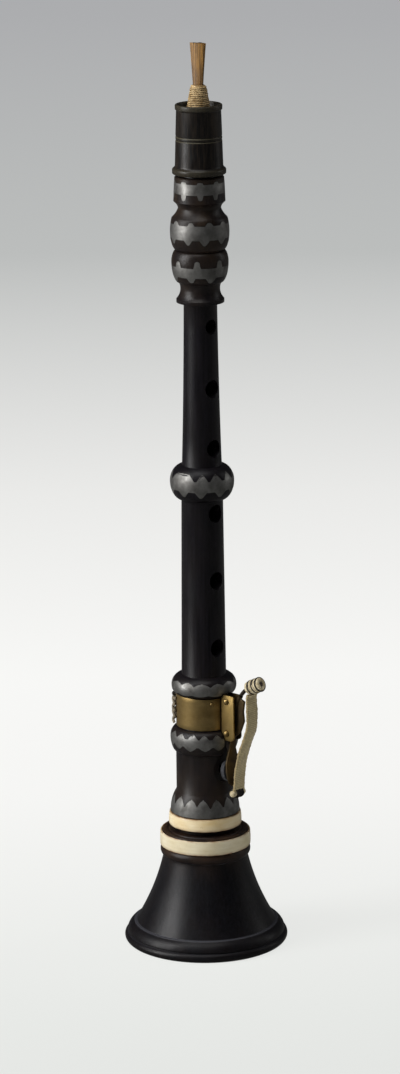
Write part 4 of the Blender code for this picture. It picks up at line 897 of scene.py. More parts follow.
@dataclass
class Teeth:
    """One edge row of an inlay's teeth.

    Shares are of the pitch. Blunt teeth keep their width up to a rounded end, and sharp ones narrow
    all the way. A bulge over 1 swells the sides like a petal's. A lobe is one place where teeth have
    run together, as its middle azimuth, half width in degrees and height.
    """

    count: int
    azimuth: float
    half_root: float
    half_tip: float
    uneven: float = 0.12
    bulge: float = 1.0
    lobe: Optional[tuple[float, float, float]] = None
    rounding: float = 0.16

    def offsets(self, seed: int) -> list[tuple[float, float, float]]:
        """Each tooth's middle azimuth, width and length, a little uneven as cut by hand."""
        draw = random.Random(seed)
        pitch = 360 / self.count
        found = []
        for tooth in range(self.count):
            middle = self.azimuth + tooth * pitch + draw.uniform(-0.5, 0.5) * pitch * self.uneven
            width = 1 + draw.uniform(-1, 1) * self.uneven
            found.append((middle, width, 1 - draw.random() * 1.5 * self.uneven))
        return found

    def share(self, azimuth: float, offsets: list[tuple[float, float, float]]) -> float:
        """How far the edge stands out at an azimuth: 0 in a valley and up to 1 on a tip."""
        pitch = 360 / self.count
        best = 0.0
        for middle, wide, long in offsets:
            away = apart(azimuth, middle)
            root, tip = self.half_root * pitch * wide, self.half_tip * pitch * wide
            if away >= root:
                continue
            if away <= tip:
                rise = 1 - self.rounding * (away / tip) ** 2
            else:
                rise = (1 - self.rounding) * (1 - ((away - tip) / (root - tip)) ** self.bulge)
            best = max(best, rise * long)
        if self.lobe:
            middle, half, height = self.lobe
            away = apart(azimuth, middle)
            if away < half:
                best = max(best, height * (1 - (away / half) ** 4))
        return best


@dataclass
class Inlay:
    """A pewter ring cast into a bead, with toothed edges, flush with the turned wood."""

    node: str
    low_tip: float
    low_valley: float
    high_valley: float
    high_tip: float
    low_teeth: Teeth
    high_teeth: Teeth
    crossed: bool = False
    columns: int = 480
    rows: int = 7
    proud: float = 0.05
    wall: float = 0.30

    def build(self, outline: Outline, seed: int, channel: Callable[[], Piece]) -> None:
        """Makes the inlay on the body's outline.

        Args:
            outline: the body's outline.
            seed: picks how uneven the teeth are.
            channel: makes the cutter for the key's channel, used where that crosses this inlay.
        """
        low_set, high_set = self.low_teeth.offsets(seed), self.high_teeth.offsets(seed + 1)

        def place(u: float, v: float) -> Vector:
            """The place of a point at a share round the body and a share up the band."""
            azimuth = 360 * u - 180
            low_out = self.low_teeth.share(azimuth, low_set)
            high_out = self.high_teeth.share(azimuth, high_set)
            low = self.low_valley + (self.low_tip - self.low_valley) * low_out
            high = self.high_valley + (self.high_tip - self.high_valley) * high_out
            z = low + (high - low) * v
            return around(azimuth, outline.radius_at(z) + self.proud, z)

        name = self.node.replace("pewter", "cast")
        band = thicken(sheet_of(name, self.columns, self.rows, place), self.wall)
        if self.crossed:
            carve(band, channel())
        hand_over(smooth(band, 50), Section.BODY, PEWTER, self.node)


INLAYS = (
    Inlay(
        "pewter_foot_band", 58.25, 58.25, 62.9, 67.0,
        Teeth(30, 0, 0.5, 0.49, 0.0), Teeth(15, -43.8, 0.47, 0.06, 0.10, 1.75),
    ),
    Inlay(
        "pewter_lower_bead_band", 87.8, 89.9, 93.6, 95.8,
        Teeth(14, -40.2, 0.42, 0.10, 0.12, 1.3), Teeth(16, -40.3, 0.41, 0.05, 0.12, 1.5), crossed=True,
    ),
    Inlay(
        "pewter_upper_bead_band", 112.1, 112.8, 116.8, 118.5,
        Teeth(12, -48.3, 0.46, 0.2), Teeth(13, -45.3, 0.49, 0.1, 0.2, 1.8), crossed=True,
    ),
    Inlay(
        "pewter_middle_band", 199.0, 201.9, 206.9, 210.3,
        Teeth(10, -43.0, 0.33, 0.11), Teeth(13, -41.0, 0.42, 0.03, 0.08, 1.5, (-83.0, 26.0, 0.84)),
    ),
    Inlay(
        "pewter_lower_bulb_band", 290.9, 293.2, 297.8, 300.9,
        Teeth(8, -61.0, 0.24, 0.11), Teeth(8, -44.6, 0.17, 0.11),
    ),
    Inlay(
        "pewter_upper_bulb_band", 306.9, 309.3, 315.7, 317.3,
        Teeth(10, -29.7, 0.26, 0.09), Teeth(10, -23.6, 0.24, 0.12),
    ),
    Inlay(
        "pewter_barrel_band", 325.4, 328.1, 332.8, 334.0,
        Teeth(9, -41.0, 0.19, 0.12), Teeth(9, -39.0, 0.21, 0.14),
    ),
)


def ridges(inner: float, outer: float, low: float, high: float, turns: int) -> Outline:
    """The outline of a lapping: one thread ridge a turn between two heights, over a plain inside."""
    line = Outline([(inner, low), (outer, low)])
    for turn in range(turns):
        line.arc(outer, low + (high - low) * (turn + 1) / turns, 0.14, 4)
    return line.to((inner, high))


@dataclass
class Body:
    """The long turned body with its beads, bulbs, tenons, bore, holes, key seat and key channel."""

    foot: float = 28.3
    shoulder: float = 50.3
    top: float = 348.8
    hole_heights: tuple[float, ...] = (132.4, 162.0, 191.4, 219.5, 245.2, 271.7)
    hole_radius: float = 3.5
    top_hole_radius: float = 2.8
    seat_height: float = 79.1
    seat_reach: float = 10.7
    seat_radius: float = 5.9
    seat_hole_radius: float = 2.8
    channel_reach: float = 12.0
    inlay_channel_reach: float = 8.5
    channel_half: float = 2.9
    channel_ends: Point = (84.2, 113.1)
    cutter_reach: float = 17.0
    thread_spacing: float = 0.55

    def outline(self) -> Outline:
        """The body's outer side from its foot to its top, without the lapping grooves."""
        line = Outline([(10.9, self.foot), (10.9, self.shoulder), (13.0, self.shoulder), (13.0, 58.2)])
        line.to((14.85, 58.2)).arc(12.25, 67.8, 0.7, 12).to((12.25, 85.4))
        line.swell_to(14.6, 92.0).draw_in(11.3, 96.4)
        line.to((11.3, 111.5), (12.2, 111.5)).swell_to(13.9, 114.7).draw_in(9.55, 119.6)
        line.to((8.85, 196.7)).swell_to(13.6, 204.6).draw_in(8.45, 211.5)
        line.arc(7.05, 281.6, -0.2, 6).to((10.1, 281.6), (10.1, 283.0)).arc(8.9, 290.0, -1.1)
        line.swell_to(11.96, 298.9).draw_in(9.9, 303.9).swell_to(12.4, 311.4).arc(11.7, 317.5, 0.2, 6)
        line.arc(9.0, 321.5, -0.3, 6).arc(10.5, 324.1, -0.3, 6).to((10.9, 324.5), (10.4, 334.5))
        return line.to((10.0, 334.9), (7.6, 334.9), (7.6, self.top))

    def turned_outline(self) -> Outline:
        """The whole outline: the outer side with the lapping grooves, then the bore."""
        outer = self.outline().points
        outer[1:1] = [(10.9, 31.3), (10.3, 31.3), (10.3, 47.3), (10.9, 47.3)]
        outer[-1:-1] = [(7.6, 337.5), (7.0, 337.5), (7.0, 346.2), (7.6, 346.2)]
        return Outline(outer).to((3.2, self.top), (3.2, 328.8), (2.3, 328.8), (7.4, self.foot))

    def channel(self, reach: float) -> Piece:
        """The cutter for the key's channel through both beads, from a radius outwards."""

        def place(out: float, up: float, beside: float) -> Vector:
            """A point of the channel."""
            return around(KEY_AZIMUTH, out, up, beside)

        sides = (-self.channel_half, self.channel_half)
        return block("channel_cutter", place, (reach, self.cutter_reach), self.channel_ends, sides)

    def hole(self, azimuth: float, z: float, radius: float, start: float = 0.0) -> Piece:
        """A cutter that stands out from the axis."""
        end = around(azimuth, self.cutter_reach, z)
        return cylinder("hole_cutter", around(azimuth, start, z), end, radius)

    def countersink(self, z: float, radius: float, surface: float) -> Piece:
        """A cone cutter that breaks a finger hole's edge where it meets the body's side.

        Args:
            z: the hole's height.
            radius: its radius.
            surface: the body's radius there.

        Returns:
            The cutter.
        """
        narrower, wider, depth = 0.45, 0.75, 2.2
        deselect()
        bpy.ops.mesh.primitive_cone_add(
            vertices=48,
            radius1=(radius - narrower) * MM,
            radius2=(radius + wider) * MM,
            depth=depth * MM,
            location=around(0, surface - narrower, z),
            rotation=outward(0).to_track_quat("Z", "Y").to_euler(),
        )
        return settle(bpy.context.object, "countersink_cutter")

    def build(self) -> None:
        """Turns the body, drills it, and adds its ring, its inlays and its lappings."""
        outer = self.outline()
        body = round_edges(lathe("turned_body", self.turned_outline(), 128), FINE_EDGE, 2, 50)
        for z in self.hole_heights:
            radius = self.top_hole_radius if z == self.hole_heights[-1] else self.hole_radius
            carve(body, self.hole(0, z, radius))
            carve(body, self.countersink(z, radius, outer.radius_at(z)))
        carve(body, self.hole(KEY_AZIMUTH, self.seat_height, self.seat_radius, self.seat_reach))
        carve(body, self.hole(KEY_AZIMUTH, self.seat_height, self.seat_hole_radius))
        carve(body, self.channel(self.channel_reach))
        hand_over(smooth(body, 38), Section.BODY, BODY_WOOD, "body")
        ring = Outline([(13.3, 52.5), (15.65, 52.5)]).arc(15.35, 57.9, 0.18, 6).to((13.3, 57.9))
        turned = round_edges(lathe("foot_ring_of_bone", ring), 0.25, 3)
        hand_over(smooth(turned), Section.BODY, PALE_BONE, "foot_bone_ring")
        for number, band in enumerate(INLAYS):
            band.build(outer, 20 + 7 * number, lambda: self.channel(self.inlay_channel_reach))
        for node, inner, outside, low, high in (
            ("foot_tenon_lapping", 10.6, 11.05, 31.6, 47.0),
            ("cup_tenon_lapping", 7.3, 7.75, 337.8, 345.9),
        ):
            line = ridges(inner, outside, low, high, round((high - low) / self.thread_spacing))
            hand_over(smooth(lathe(node + "_wound", line, 72), 60), Section.BODY, DARK_THREAD, node)


@dataclass
class Cup:
    """The horn cup round the reed, with its flange, twin lines, rim, ledge and well."""

    foot: float = 335.9
    top: float = 365.0
    socket_radius: float = 8.2

    def build(self) -> None:
        """Turns the cup."""
        line = Outline([(10.9, self.foot)]).arc(11.3, 336.3, 0.05, 3).to((11.3, 337.7))
        line.arc(10.9, 338.3, 0.1, 4).to((10.3, 338.9)).arc(10.1, 339.6, -0.05, 4).to((9.78, 349.7))
        for low in (349.95, 351.45):
            line.to((9.75, low), (9.48, low + 0.22), (9.48, low + 0.40), (9.73, low + 0.6))
        line.to((9.4, 362.2)).arc(9.85, 362.9, -0.12, 4).to((9.9, 364.5)).arc(9.4, self.top, 0.12, 4)
        line.to((8.9, self.top)).arc(8.5, 364.5, 0.08, 3).to((self.socket_radius, 351.1), (6.0, 351.1))
        line.to((6.0, 349.1), (self.socket_radius, 349.1), (self.socket_radius, self.foot))
        cup = round_edges(lathe("turned_horn_cup", line), FINE_EDGE, 2, 50)
        hand_over(smooth(cup), Section.CUP, HORN, "reed_cup")


@dataclass
class Reed:
    """The double reed: two cane blades bound with thread on a brass staple."""

    azimuth: float = -66.0
    foot: float = 366.3
    length: float = 24.2
    tip_width: float = 7.0
    foot_width: float = 3.5
    thickness: float = 0.8
    opening: float = 0.6
    foot_opening: float = 0.3
    crown: float = 0.4
    binding_foot: float = 355.6
    binding_height: float = 16.5
    belly_height: float = 7.0
    thread_radius: float = 0.37
    thread_pitch: float = 0.74
    thread_start: float = 1.2
    fray_count: int = 13
    fray_depth: float = 0.35
    core_foot: float = 3.1
    core_belly: float = 4.1
    core_narrowing: float = 1.3
    padding: float = 0.55
    padding_height: float = 12.5
    staple_ends: Point = (330.0, 366.0)
    staple_radii: Point = (1.5, 2.0)
    lapping_ends: Point = (331.5, 346.5)
    lapping_radii: Point = (2.3, 2.75)
    lapping_turns: int = 27

    def blade(self, name: str, facing: int) -> Piece:
        """One blade, from a closed grid wrapped round its section.

        Args:
            name: the piece's name.
            facing: 1 for the front blade and -1 for the back one.

        Returns:
            The blade.
        """
        width_way, face_way = sideways(self.azimuth), outward(self.azimuth) * facing
        draw = random.Random(5 + facing)
        frays = [draw.uniform(-self.fray_depth, 0.0) for _ in range(self.fray_count)]

        def place(u: float, v: float) -> Vector:
            """Goes once round the blade's section with u, and up the blade with v."""
            half = (self.foot_width + (self.tip_width - self.foot_width) * v**1.15) / 2
            outside = u > 0.5
            across = (4 * u - 1) if not outside else (3 - 4 * u)
            crown = self.crown * (1 - across**2) * v
            near = (self.foot_opening + (self.opening - self.foot_opening) * v) / 2 + crown
            shell = self.thickness * sqrt(max(0.0, 1 - across**2 * 0.72)) * (1 - 0.35 * v)
            off = near + (shell if outside else 0.0)
            fray = frays[min(self.fray_count - 1, int((across + 1) * 6.49))] * v**12
            spot = width_way * across * half + face_way * off
            return (spot + AXIS * (self.foot + self.length * v + fray)) * MM

        blade = sheet_of(name, 48, 30, place)
        pick(blade)
        bpy.ops.object.mode_set(mode="EDIT")
        bpy.ops.mesh.select_all(action="DESELECT")
        bpy.ops.mesh.select_non_manifold()
        bpy.ops.mesh.edge_face_add()
        bpy.ops.object.mode_set(mode="OBJECT")
        return smooth(settle(blade, name), 45)

    def padded_radius(self, height: float) -> float:
        """The radius of the binding's core with its under layers of thread, at a height over its foot."""
        padding = self.padding * max(0.0, 1 - height / self.padding_height)
        if height < self.belly_height:
            swell = self.core_belly - self.core_foot
            return self.core_foot + swell * sin(pi / 2 * height / self.belly_height) + padding
        share = (height - self.belly_height) / (self.binding_height - self.belly_height)
        return self.core_belly - self.core_narrowing * share**1.5 + padding

    def reach(self, along: float) -> float:
        """The thread's distance from the axis, a little uneven from turn to turn."""
        uneven = 0.12 * sin(along * 5.3) * sin(along * 1.7)
        return self.padded_radius(self.thread_start + along) + self.thread_radius * 0.8 + uneven

    def build(self) -> None:
        """Makes the blades, the binding and the staple."""
        for side, facing in (("front", 1), ("back", -1)):
            hand_over(self.blade(f"cane_blade_{side}", facing), Section.REED, CANE, f"reed_blade_{side}")
        hollow, core_height, steps = self.lapping_radii[0], self.binding_height + 0.8, 24
        line = Outline([(hollow, self.binding_foot)])
        for step in range(steps + 1):
            height = core_height * step / steps
            line.to((self.padded_radius(height), self.binding_foot + height))
        line.to((hollow, self.binding_foot + core_height))
        core = smooth(lathe("binding_core", line, 64), 50)
        hand_over(core, Section.REED, PALE_THREAD, "reed_binding_core")
        turns = (self.binding_height - self.thread_start + 0.3) / self.thread_pitch
        start = around(0, 0, self.binding_foot + self.thread_start)
        wound = Winding(self.reach, self.thread_pitch, turns).line(start, AXIS, Vector((1, 0, 0)))
        thread = strand("reed_winding", wound, self.thread_radius, resolution=2)
        hand_over(thread, Section.REED, PALE_THREAD, "reed_binding_thread")
        (bore, side), (low, high) = self.staple_radii, self.staple_ends
        tube = lathe("staple_tube", Outline([(bore, low), (side, low), (side, high), (bore, high)]), 48)
        hand_over(smooth(round_edges(tube, 0.08)), Section.REED, BRASS, "staple")
        line = ridges(*self.lapping_radii, *self.lapping_ends, self.lapping_turns)
        lapping = lathe("staple_wound", line, 40)
        hand_over(smooth(lapping, 60), Section.REED, DARK_THREAD, "staple_lapping")


@dataclass
class Strap:
    """The brass strap round the body, its pin, and the cord that laces its open ends."""

    outer: float = 12.1
    low: float = 96.8
    high: float = 111.1
    wall: float = 0.45
    lace_azimuth: float = -141.0
    half_opening: float = 11.0
    pin_azimuth: float = -25.0
    pin_drop: float = 2.4
    lace_half: float = 20.0
    lace_foot: float = 98.0
    lace_height: float = 11.2
    lace_radius: float = 0.58
    knot_height: float = 109.85
    knot_radius: float = 0.36

    def build(self) -> None:
        """Makes the strap, the pin, the lacing and the knot."""
        start, sweep = self.lace_azimuth + self.half_opening, 360 - 2 * self.half_opening

        def place(u: float, v: float) -> Vector:
            """Wraps the sheet round the body, slightly dented, with a wavy upper edge."""
            azimuth = start + sweep * u
            dent = 0.05 * sin(radians(azimuth * 5)) * sin(pi * v)
            wave = 0.12 * sin(radians(azimuth * 3 + 20)) * v
            z = self.low + 0.05 + (self.high - self.low - 0.2) * v + wave
            return around(azimuth, self.outer - 0.05 + dent, z)

        strap = round_edges(thicken(sheet_of("brass_strap", 180, 8, place), self.wall), FINE_EDGE, 2, 60)
        hand_over(smooth(strap), Section.BODY, BRASS, "key_strap")
        dome = Outline([(0.0, 0.0), (0.78, 0.0)]).arc(0.35, 0.42, 0.09, 4).to((0.0, 0.48))
        spot = around(self.pin_azimuth, self.outer + 0.02, self.high - self.pin_drop)
        head = stand_out(lathe("strap_pin_head", dome, 24), outward(self.pin_azimuth), spot)
        hand_over(smooth(head), Section.BODY, BRASS, "strap_pin")
        lacing = join("lacing_cord", *(self.lace(side) for side in (1, -1)))
        hand_over(lacing, Section.BODY, LACING_THREAD, "strap_lacing")
        tied = strand("lacing_tied_knot", self.knot(), self.knot_radius)
        hand_over(tied, Section.BODY, DARK_THREAD, "lacing_knot")

    def lace(self, side: int, count: int = 120) -> Piece:
        """One strand that zigzags up across the opening, starting on the side given as 1 or -1."""
        points = []
        for i in range(count + 1):
            share = i / count
            azimuth = self.lace_azimuth + side * self.lace_half * cos(pi * 4 * share)
            reach = 13.0 + side * 0.35 * sin(pi * 4 * share) + 0.15 * sin(share * 37)
            height = self.lace_foot + self.lace_height * share + 0.25 * sin(share * 23)
            points.append(around(azimuth, reach, height))
        return strand("lacing_strand", points, self.lace_radius)

    def knot(self, count: int = 72) -> list[Vector]:
        """The centreline of a small closed knot over the upper crossing."""
        centre = around(self.lace_azimuth, 13.35, self.knot_height)
        points = []
        for i in range(count + 1):
            angle = 2 * pi * i / count
            side = sideways(self.lace_azimuth) * (sin(angle) + 1.1 * sin(2 * angle)) * 0.34
            out = outward(self.lace_azimuth) * 0.28 * sin(3 * angle)
            rise = AXIS * (cos(angle) - 1.1 * cos(2 * angle)) * 0.30
            points.append(centre + (side + out + rise) * MM)
        return points


@dataclass
class Key:
    """The key in its own plane: saddle, pins, lever, pad, touch rod, tape and spring.

    Points in the key's plane are (out, up) in millimetres from the hinge pin's middle. The flap's
    widths are (up, half width) in the closed key.
    """

    pivot_radius: float = 15.3
    pivot_height: float = 95.9
    opening: float = 9.0
    cheek_inner: float = 1.8
    cheek_outer: float = 2.6
    cheek_outs: Point = (-2.9, 4.1)
    cheek_ups: Point = (-3.2, 16.9)
    rivet_up: float = 14.2
    hub_radius: float = 2.1
    hub_half: float = 1.5
    arm_radius: float = 1.3
    arm_taper: float = 0.2
    pad_face: float = -4.45
    pad_radius: float = 4.8
    pad_thickness: float = 2.0
    pad_up: float = -16.8
    pad_fill: float = 0.9
    flap_foot: float = -23.4
    flap_bend: float = 11.0
    flap_thickness: float = 1.0
    flap_widths: tuple[Point, ...] = (
        (-23.4, 0.6), (-22.9, 2.6), (-21.6, 3.9), (-19.5, 4.5), (-16.8, 4.6), (-13.5, 4.3),
        (-11.0, 3.4), (-9.2, 2.5), (-6.5, 1.7), (-3.0, 1.4), (0.0, 1.3),
    )
    knee_half: float = 0.55
    knee_points: tuple[Point, ...] = (
        (-1.2, 0.8), (1.6, -2.6), (6.0, 1.2), (8.1, 6.4), (7.6, 10.5), (8.3, 15.2), (5.4, 16.4), (2.6, 11.0)
    )
    arm_route: tuple[Point, ...] = ((0.0, 0.0), (1.4, 7.2), (3.4, 12.8), (6.1, 17.4))
    rod_route: tuple[Point, ...] = ((6.4, 17.9), (8.2, 19.9), (10.0, 21.3), (11.9, 22.2))
    rod_radius: float = 0.95
    rod_length: float = 6.4
    wrap_overlap: float = 0.9
    cord_places: tuple[float, ...] = (1.6, 4.1, 6.4)
    tape_start: Point = (12.4, 20.2)
    tape_route: tuple[Point, ...] = (
        (11.5, 18.4), (11.5, 15.0), (11.7, 9.8), (11.3, 4.0),
        (9.2, -1.6), (6.7, -7.9), (4.7, -15.6), (3.9, -23.3),
    )
    tape_tuck: Point = (-0.15, 1.0)
    tape_width: float = 6.6
    roll_drop: float = 2.9

    def at(self, out: float, up: float, beside: float = 0.0) -> Vector:
        """The place in metres of a point of the key's plane."""
        return around(KEY_AZIMUTH, self.pivot_radius + out, self.pivot_height + up, beside)

    def swung(self, out: float, up: float) -> Point:
        """Where a point of the closed key stands once it has opened."""
        c, s = cos(radians(self.opening)), sin(radians(self.opening))
        return out * c - up * s, out * s + up * c

    def route(self, points: Sequence[Point]) -> list[Vector]:
        """The places of a smooth curve through points of the key's plane."""
        return [self.at(point.x, point.y) for point in curved(points, 0.8)]

    def saddle(self) -> None:
        """The two cheeks and the web between them, with rounded outer corners."""
        parts = []
        for side in (-1, 1):
            besides = (side * self.cheek_inner, side * self.cheek_outer)
            cheek = block("saddle_cheek", self.at, self.cheek_outs, self.cheek_ups, besides)
            for up, radius in zip(self.cheek_ups, (2.1, 0.9)):
                self.round_corner(cheek, self.cheek_outs[1], up, radius)
            parts.append(round_edges(cheek, 0.12, 2, 50))
        parts.append(block("saddle_web", self.at, (-2.85, -2.4), (3.2, 15.2), (-2.2, 2.2)))
        hand_over(smooth(weld("brass_saddle", *parts), 35), Section.BODY, SADDLE_BRASS, "key_saddle")

    def round_corner(self, piece: Piece, out: float, up: float, radius: float) -> None:
        """Bevels the one edge of a piece that runs sideways through a point of the key's plane."""
        start, line = self.at(out, up, -9), sideways(KEY_AZIMUTH)
        pick(piece)
        for element in (*piece.data.vertices, *piece.data.polygons):
            element.select = False
        for edge in piece.data.edges:
            offsets = [piece.data.vertices[number].co - start for number in edge.vertices]
            edge.select = all((offset - line * offset.dot(line)).length <= 0.05 * MM for offset in offsets)
        bpy.ops.object.mode_set(mode="EDIT")
        bpy.ops.mesh.select_mode(type="EDGE")
        bpy.ops.mesh.bevel(offset=radius * MM, segments=7, affect="EDGES")
        bpy.ops.mesh.select_mode(type="VERT")
        bpy.ops.object.mode_set(mode="OBJECT")

    def rivet(self, name: str, node: str, up: float) -> None:
        """A pin across both cheeks with a hammered dome on each side."""
        line = Outline([(0.0, -3.75)]).arc(1.3, -2.85, 0.34, 8)
        line.to((1.25, -2.62), (0.6, -2.62), (0.6, 2.62), (1.25, 2.62), (1.3, 2.85)).arc(0.0, 3.75, 0.34, 8)
        pin = stand_out(lathe(name, line, 32, closed=False), sideways(KEY_AZIMUTH), self.at(0, up))
        hand_over(smooth(pin, 50), Section.BODY, BRASS, node)

    def half_width(self, up: float) -> float:
        """The flap's half width at a height, in the closed key."""
        for (u0, w0), (u1, w1) in zip(self.flap_widths, self.flap_widths[1:]):
            if u0 <= up <= u1:
                share = (up - u0) / (u1 - u0)
                return w0 + (w1 - w0) * share * share * (3 - 2 * share)
        return self.flap_widths[-1][1]

    def flap(self) -> Piece:
        """The spoon-shaped plate over the pad, bent in to meet the hub."""
        pad_gap, hub_face, bow = 0.3, 1.1, 0.25
        face = self.pad_face + self.pad_thickness + pad_gap

        def place(u: float, v: float) -> Vector:
            """A point of the flap's outer face."""
            up = self.flap_foot * (1 - v)
            lift = max(0.0, (up + self.flap_bend) / self.flap_bend)
            out = face + self.flap_thickness + (hub_face - face) * lift**1.6 - bow * (2 * u - 1) ** 2
            return self.at(*self.swung(out, up), (2 * u - 1) * self.half_width(up))

        flap = thicken(sheet_of("lever_flap", 20, 44, place), 0.95)
        return round_edges(settle(flap, flap.name), 0.18, 2, 55)

    def knee(self) -> Piece:
        """The flat web that stiffens the lever's bend and shows in front of the cheeks."""
        deselect()
        bpy.ops.mesh.primitive_circle_add(vertices=len(self.knee_points), radius=1, fill_type="NGON")
        knee = bpy.context.object
        for vertex, (out, up) in zip(knee.data.vertices, self.knee_points):
            vertex.co = self.at(out, up, -self.knee_half)
        bpy.ops.object.mode_set(mode="EDIT")
        bpy.ops.mesh.select_all(action="SELECT")
        move = sideways(KEY_AZIMUTH) * 2 * self.knee_half * MM
        bpy.ops.mesh.extrude_region_move(TRANSFORM_OT_translate={"value": tuple(move)})
        bpy.ops.object.mode_set(mode="OBJECT")
        return round_edges(settle(knee, "lever_knee"), 0.15, 2, 50)

    def lever(self) -> None:
        """The lever, made of hub, tapering upper arm, flap and knee, and the pad under its flap."""
        left, right = self.at(0, 0, -self.hub_half), self.at(0, 0, self.hub_half)
        hub = round_edges(cylinder("lever_hub", left, right, self.hub_radius, 40), 0.15)
        route = self.route(self.arm_route)
        radii = [1 - self.arm_taper * i / (len(route) - 1) for i in range(len(route))]
        arm = strand("lever_arm", route, self.arm_radius, radii)
        lever = weld("brass_lever", hub, arm, self.flap(), self.knee())
        hand_over(smooth(lever, 45), Section.KEY, DARK_BRASS, "key_lever")
        start = self.at(*self.swung(self.pad_face, self.pad_up))
        end = self.at(*self.swung(self.pad_face + self.pad_thickness, self.pad_up))
        pad = round_edges(cylinder("leather_pad", start, end, self.pad_radius), 0.35, 3)
        hand_over(smooth(pad), Section.KEY, LEATHER, "key_pad")

    def touch(self) -> None:
        """The dark rod, and the tape wound round its end with three dark cords over it."""
        bend, last = (self.at(*point) for point in self.rod_route[-2:])
        way, side = (last - bend).normalized(), sideways(KEY_AZIMUTH)
        route = self.route(self.rod_route)
        shares = [0.9] * len(route) + [1.0]
        end = last + way * self.rod_length * MM
        rod = strand("dark_touch_rod", route + [end], self.rod_radius, shares, 4)
        hand_over(rod, Section.KEY, DARK_STEEL, "touch_rod")

        def reach(along: float) -> float:
            """The winding's radius, fuller in its middle and pulled tighter on every other turn."""
            return 1.95 + 0.25 * sin(pi * along / 7.4) + 0.10 * sin(along * 2.6)

        turns = Winding(reach, 1.36, 5.4, 32).line(last - way * self.wrap_overlap * MM, way, side)
        wrap = strand("wound_tape", turns, 0.95)
        wrap.data.materials.append(TAPE_WOUND.material())
        cords = []
        for along in self.cord_places:
            start = last + way * (along - self.wrap_overlap) * MM
            ring = Winding(lambda here: 2.95 + 0.08 * sin(here * 9), 0.30, 1.2, 40).line(start, way, side)
            cords.append(strand("tape_cord", ring, 0.27, resolution=2))
            cords[-1].data.materials.append(DARK_THREAD.material())
        hand_over(join("wound_tape", wrap, *cords), Section.KEY, TAPE_WOUND, "touch_wrap")

    def tape(self) -> None:
        """The flat tape, tucked under the winding and over the roll, and finished as woven cotton."""
        end_out, end_up = self.tape_route[-1]
        tuck = (end_out + self.tape_tuck[0], end_up - self.roll_drop + self.tape_tuck[1])
        line = curved((self.tape_start, *self.tape_route, tuck), 0.7)

        def place(u: float, v: float) -> Vector:
            """A point of the tape's outer face: u goes across it and v along it."""
            spot = v * (len(line) - 1)
            number = min(len(line) - 2, int(spot))
            here = line[number].lerp(line[number + 1], spot - number)
            ahead = line[min(number + 2, len(line) - 1)] - line[max(number - 1, 0)]
            across = 2 * u - 1
            bow = 0.30 * across**2 + 0.10 * sin(9 * v + 3 * across)
            here = here - Vector((-ahead.y, ahead.x, 0)).normalized() * (bow - 0.45)
            edge = 1 + 0.03 * sin(150 * v) + 0.03 * sin(31 * v + 2) + 0.02 * sin(83 * v)
            return self.at(here.x, here.y, across * (self.tape_width / 2 - 0.1) * edge)

        tape = thicken(sheet_of("woven_pull_tape", 16, 90, place), 0.85)
        round_edges(settle(tape, tape.name), 0.2, 2, 60)
        hand_over(smooth(tape, 60), Section.KEY, TAPE, "pull_tape")

    def roll(self) -> None:
        """The tape's rolled end under the flap, and the thread tied round it."""
        out, up = self.tape_route[-1]
        up -= self.roll_drop
        outline = Outline([(0.0, -4.3), (0.7, -4.2)]).arc(1.4, -3.4, 0.1, 4).to((1.35, -1.8))
        outline.arc(1.35, 1.8, -0.22, 8).to((1.4, 3.4)).arc(0.7, 4.2, 0.1, 4).to((0.0, 4.3))
        along = sideways(KEY_AZIMUTH)
        roll = stand_out(lathe("tape_rolled_end", outline, 40, closed=False), along, self.at(out, up))
        hand_over(smooth(roll, 60), Section.KEY, TAPE_WOUND, "tape_end_roll")
        wound = Winding(lambda here: 1.75 + 0.12 * sin(here * 4), 0.85, 5.4, 24)
        turns = wound.line(self.at(out, up, -2.3), along, outward(KEY_AZIMUTH))
        tie = strand("tape_tied_thread", turns, 0.42, resolution=2)
        hand_over(tie, Section.KEY, DARK_THREAD, "tape_tie_thread")

    def build(self) -> None:
        """Makes every piece of the key."""
        self.saddle()
        self.rivet("upper_rivet", "saddle_rivet", self.rivet_up)
        self.rivet("hinge_rivet", "hinge_pin", 0.0)
        self.lever()
        self.touch()
        self.tape()
        self.roll()
        dress_node("leaf_spring", DARK_STEEL)


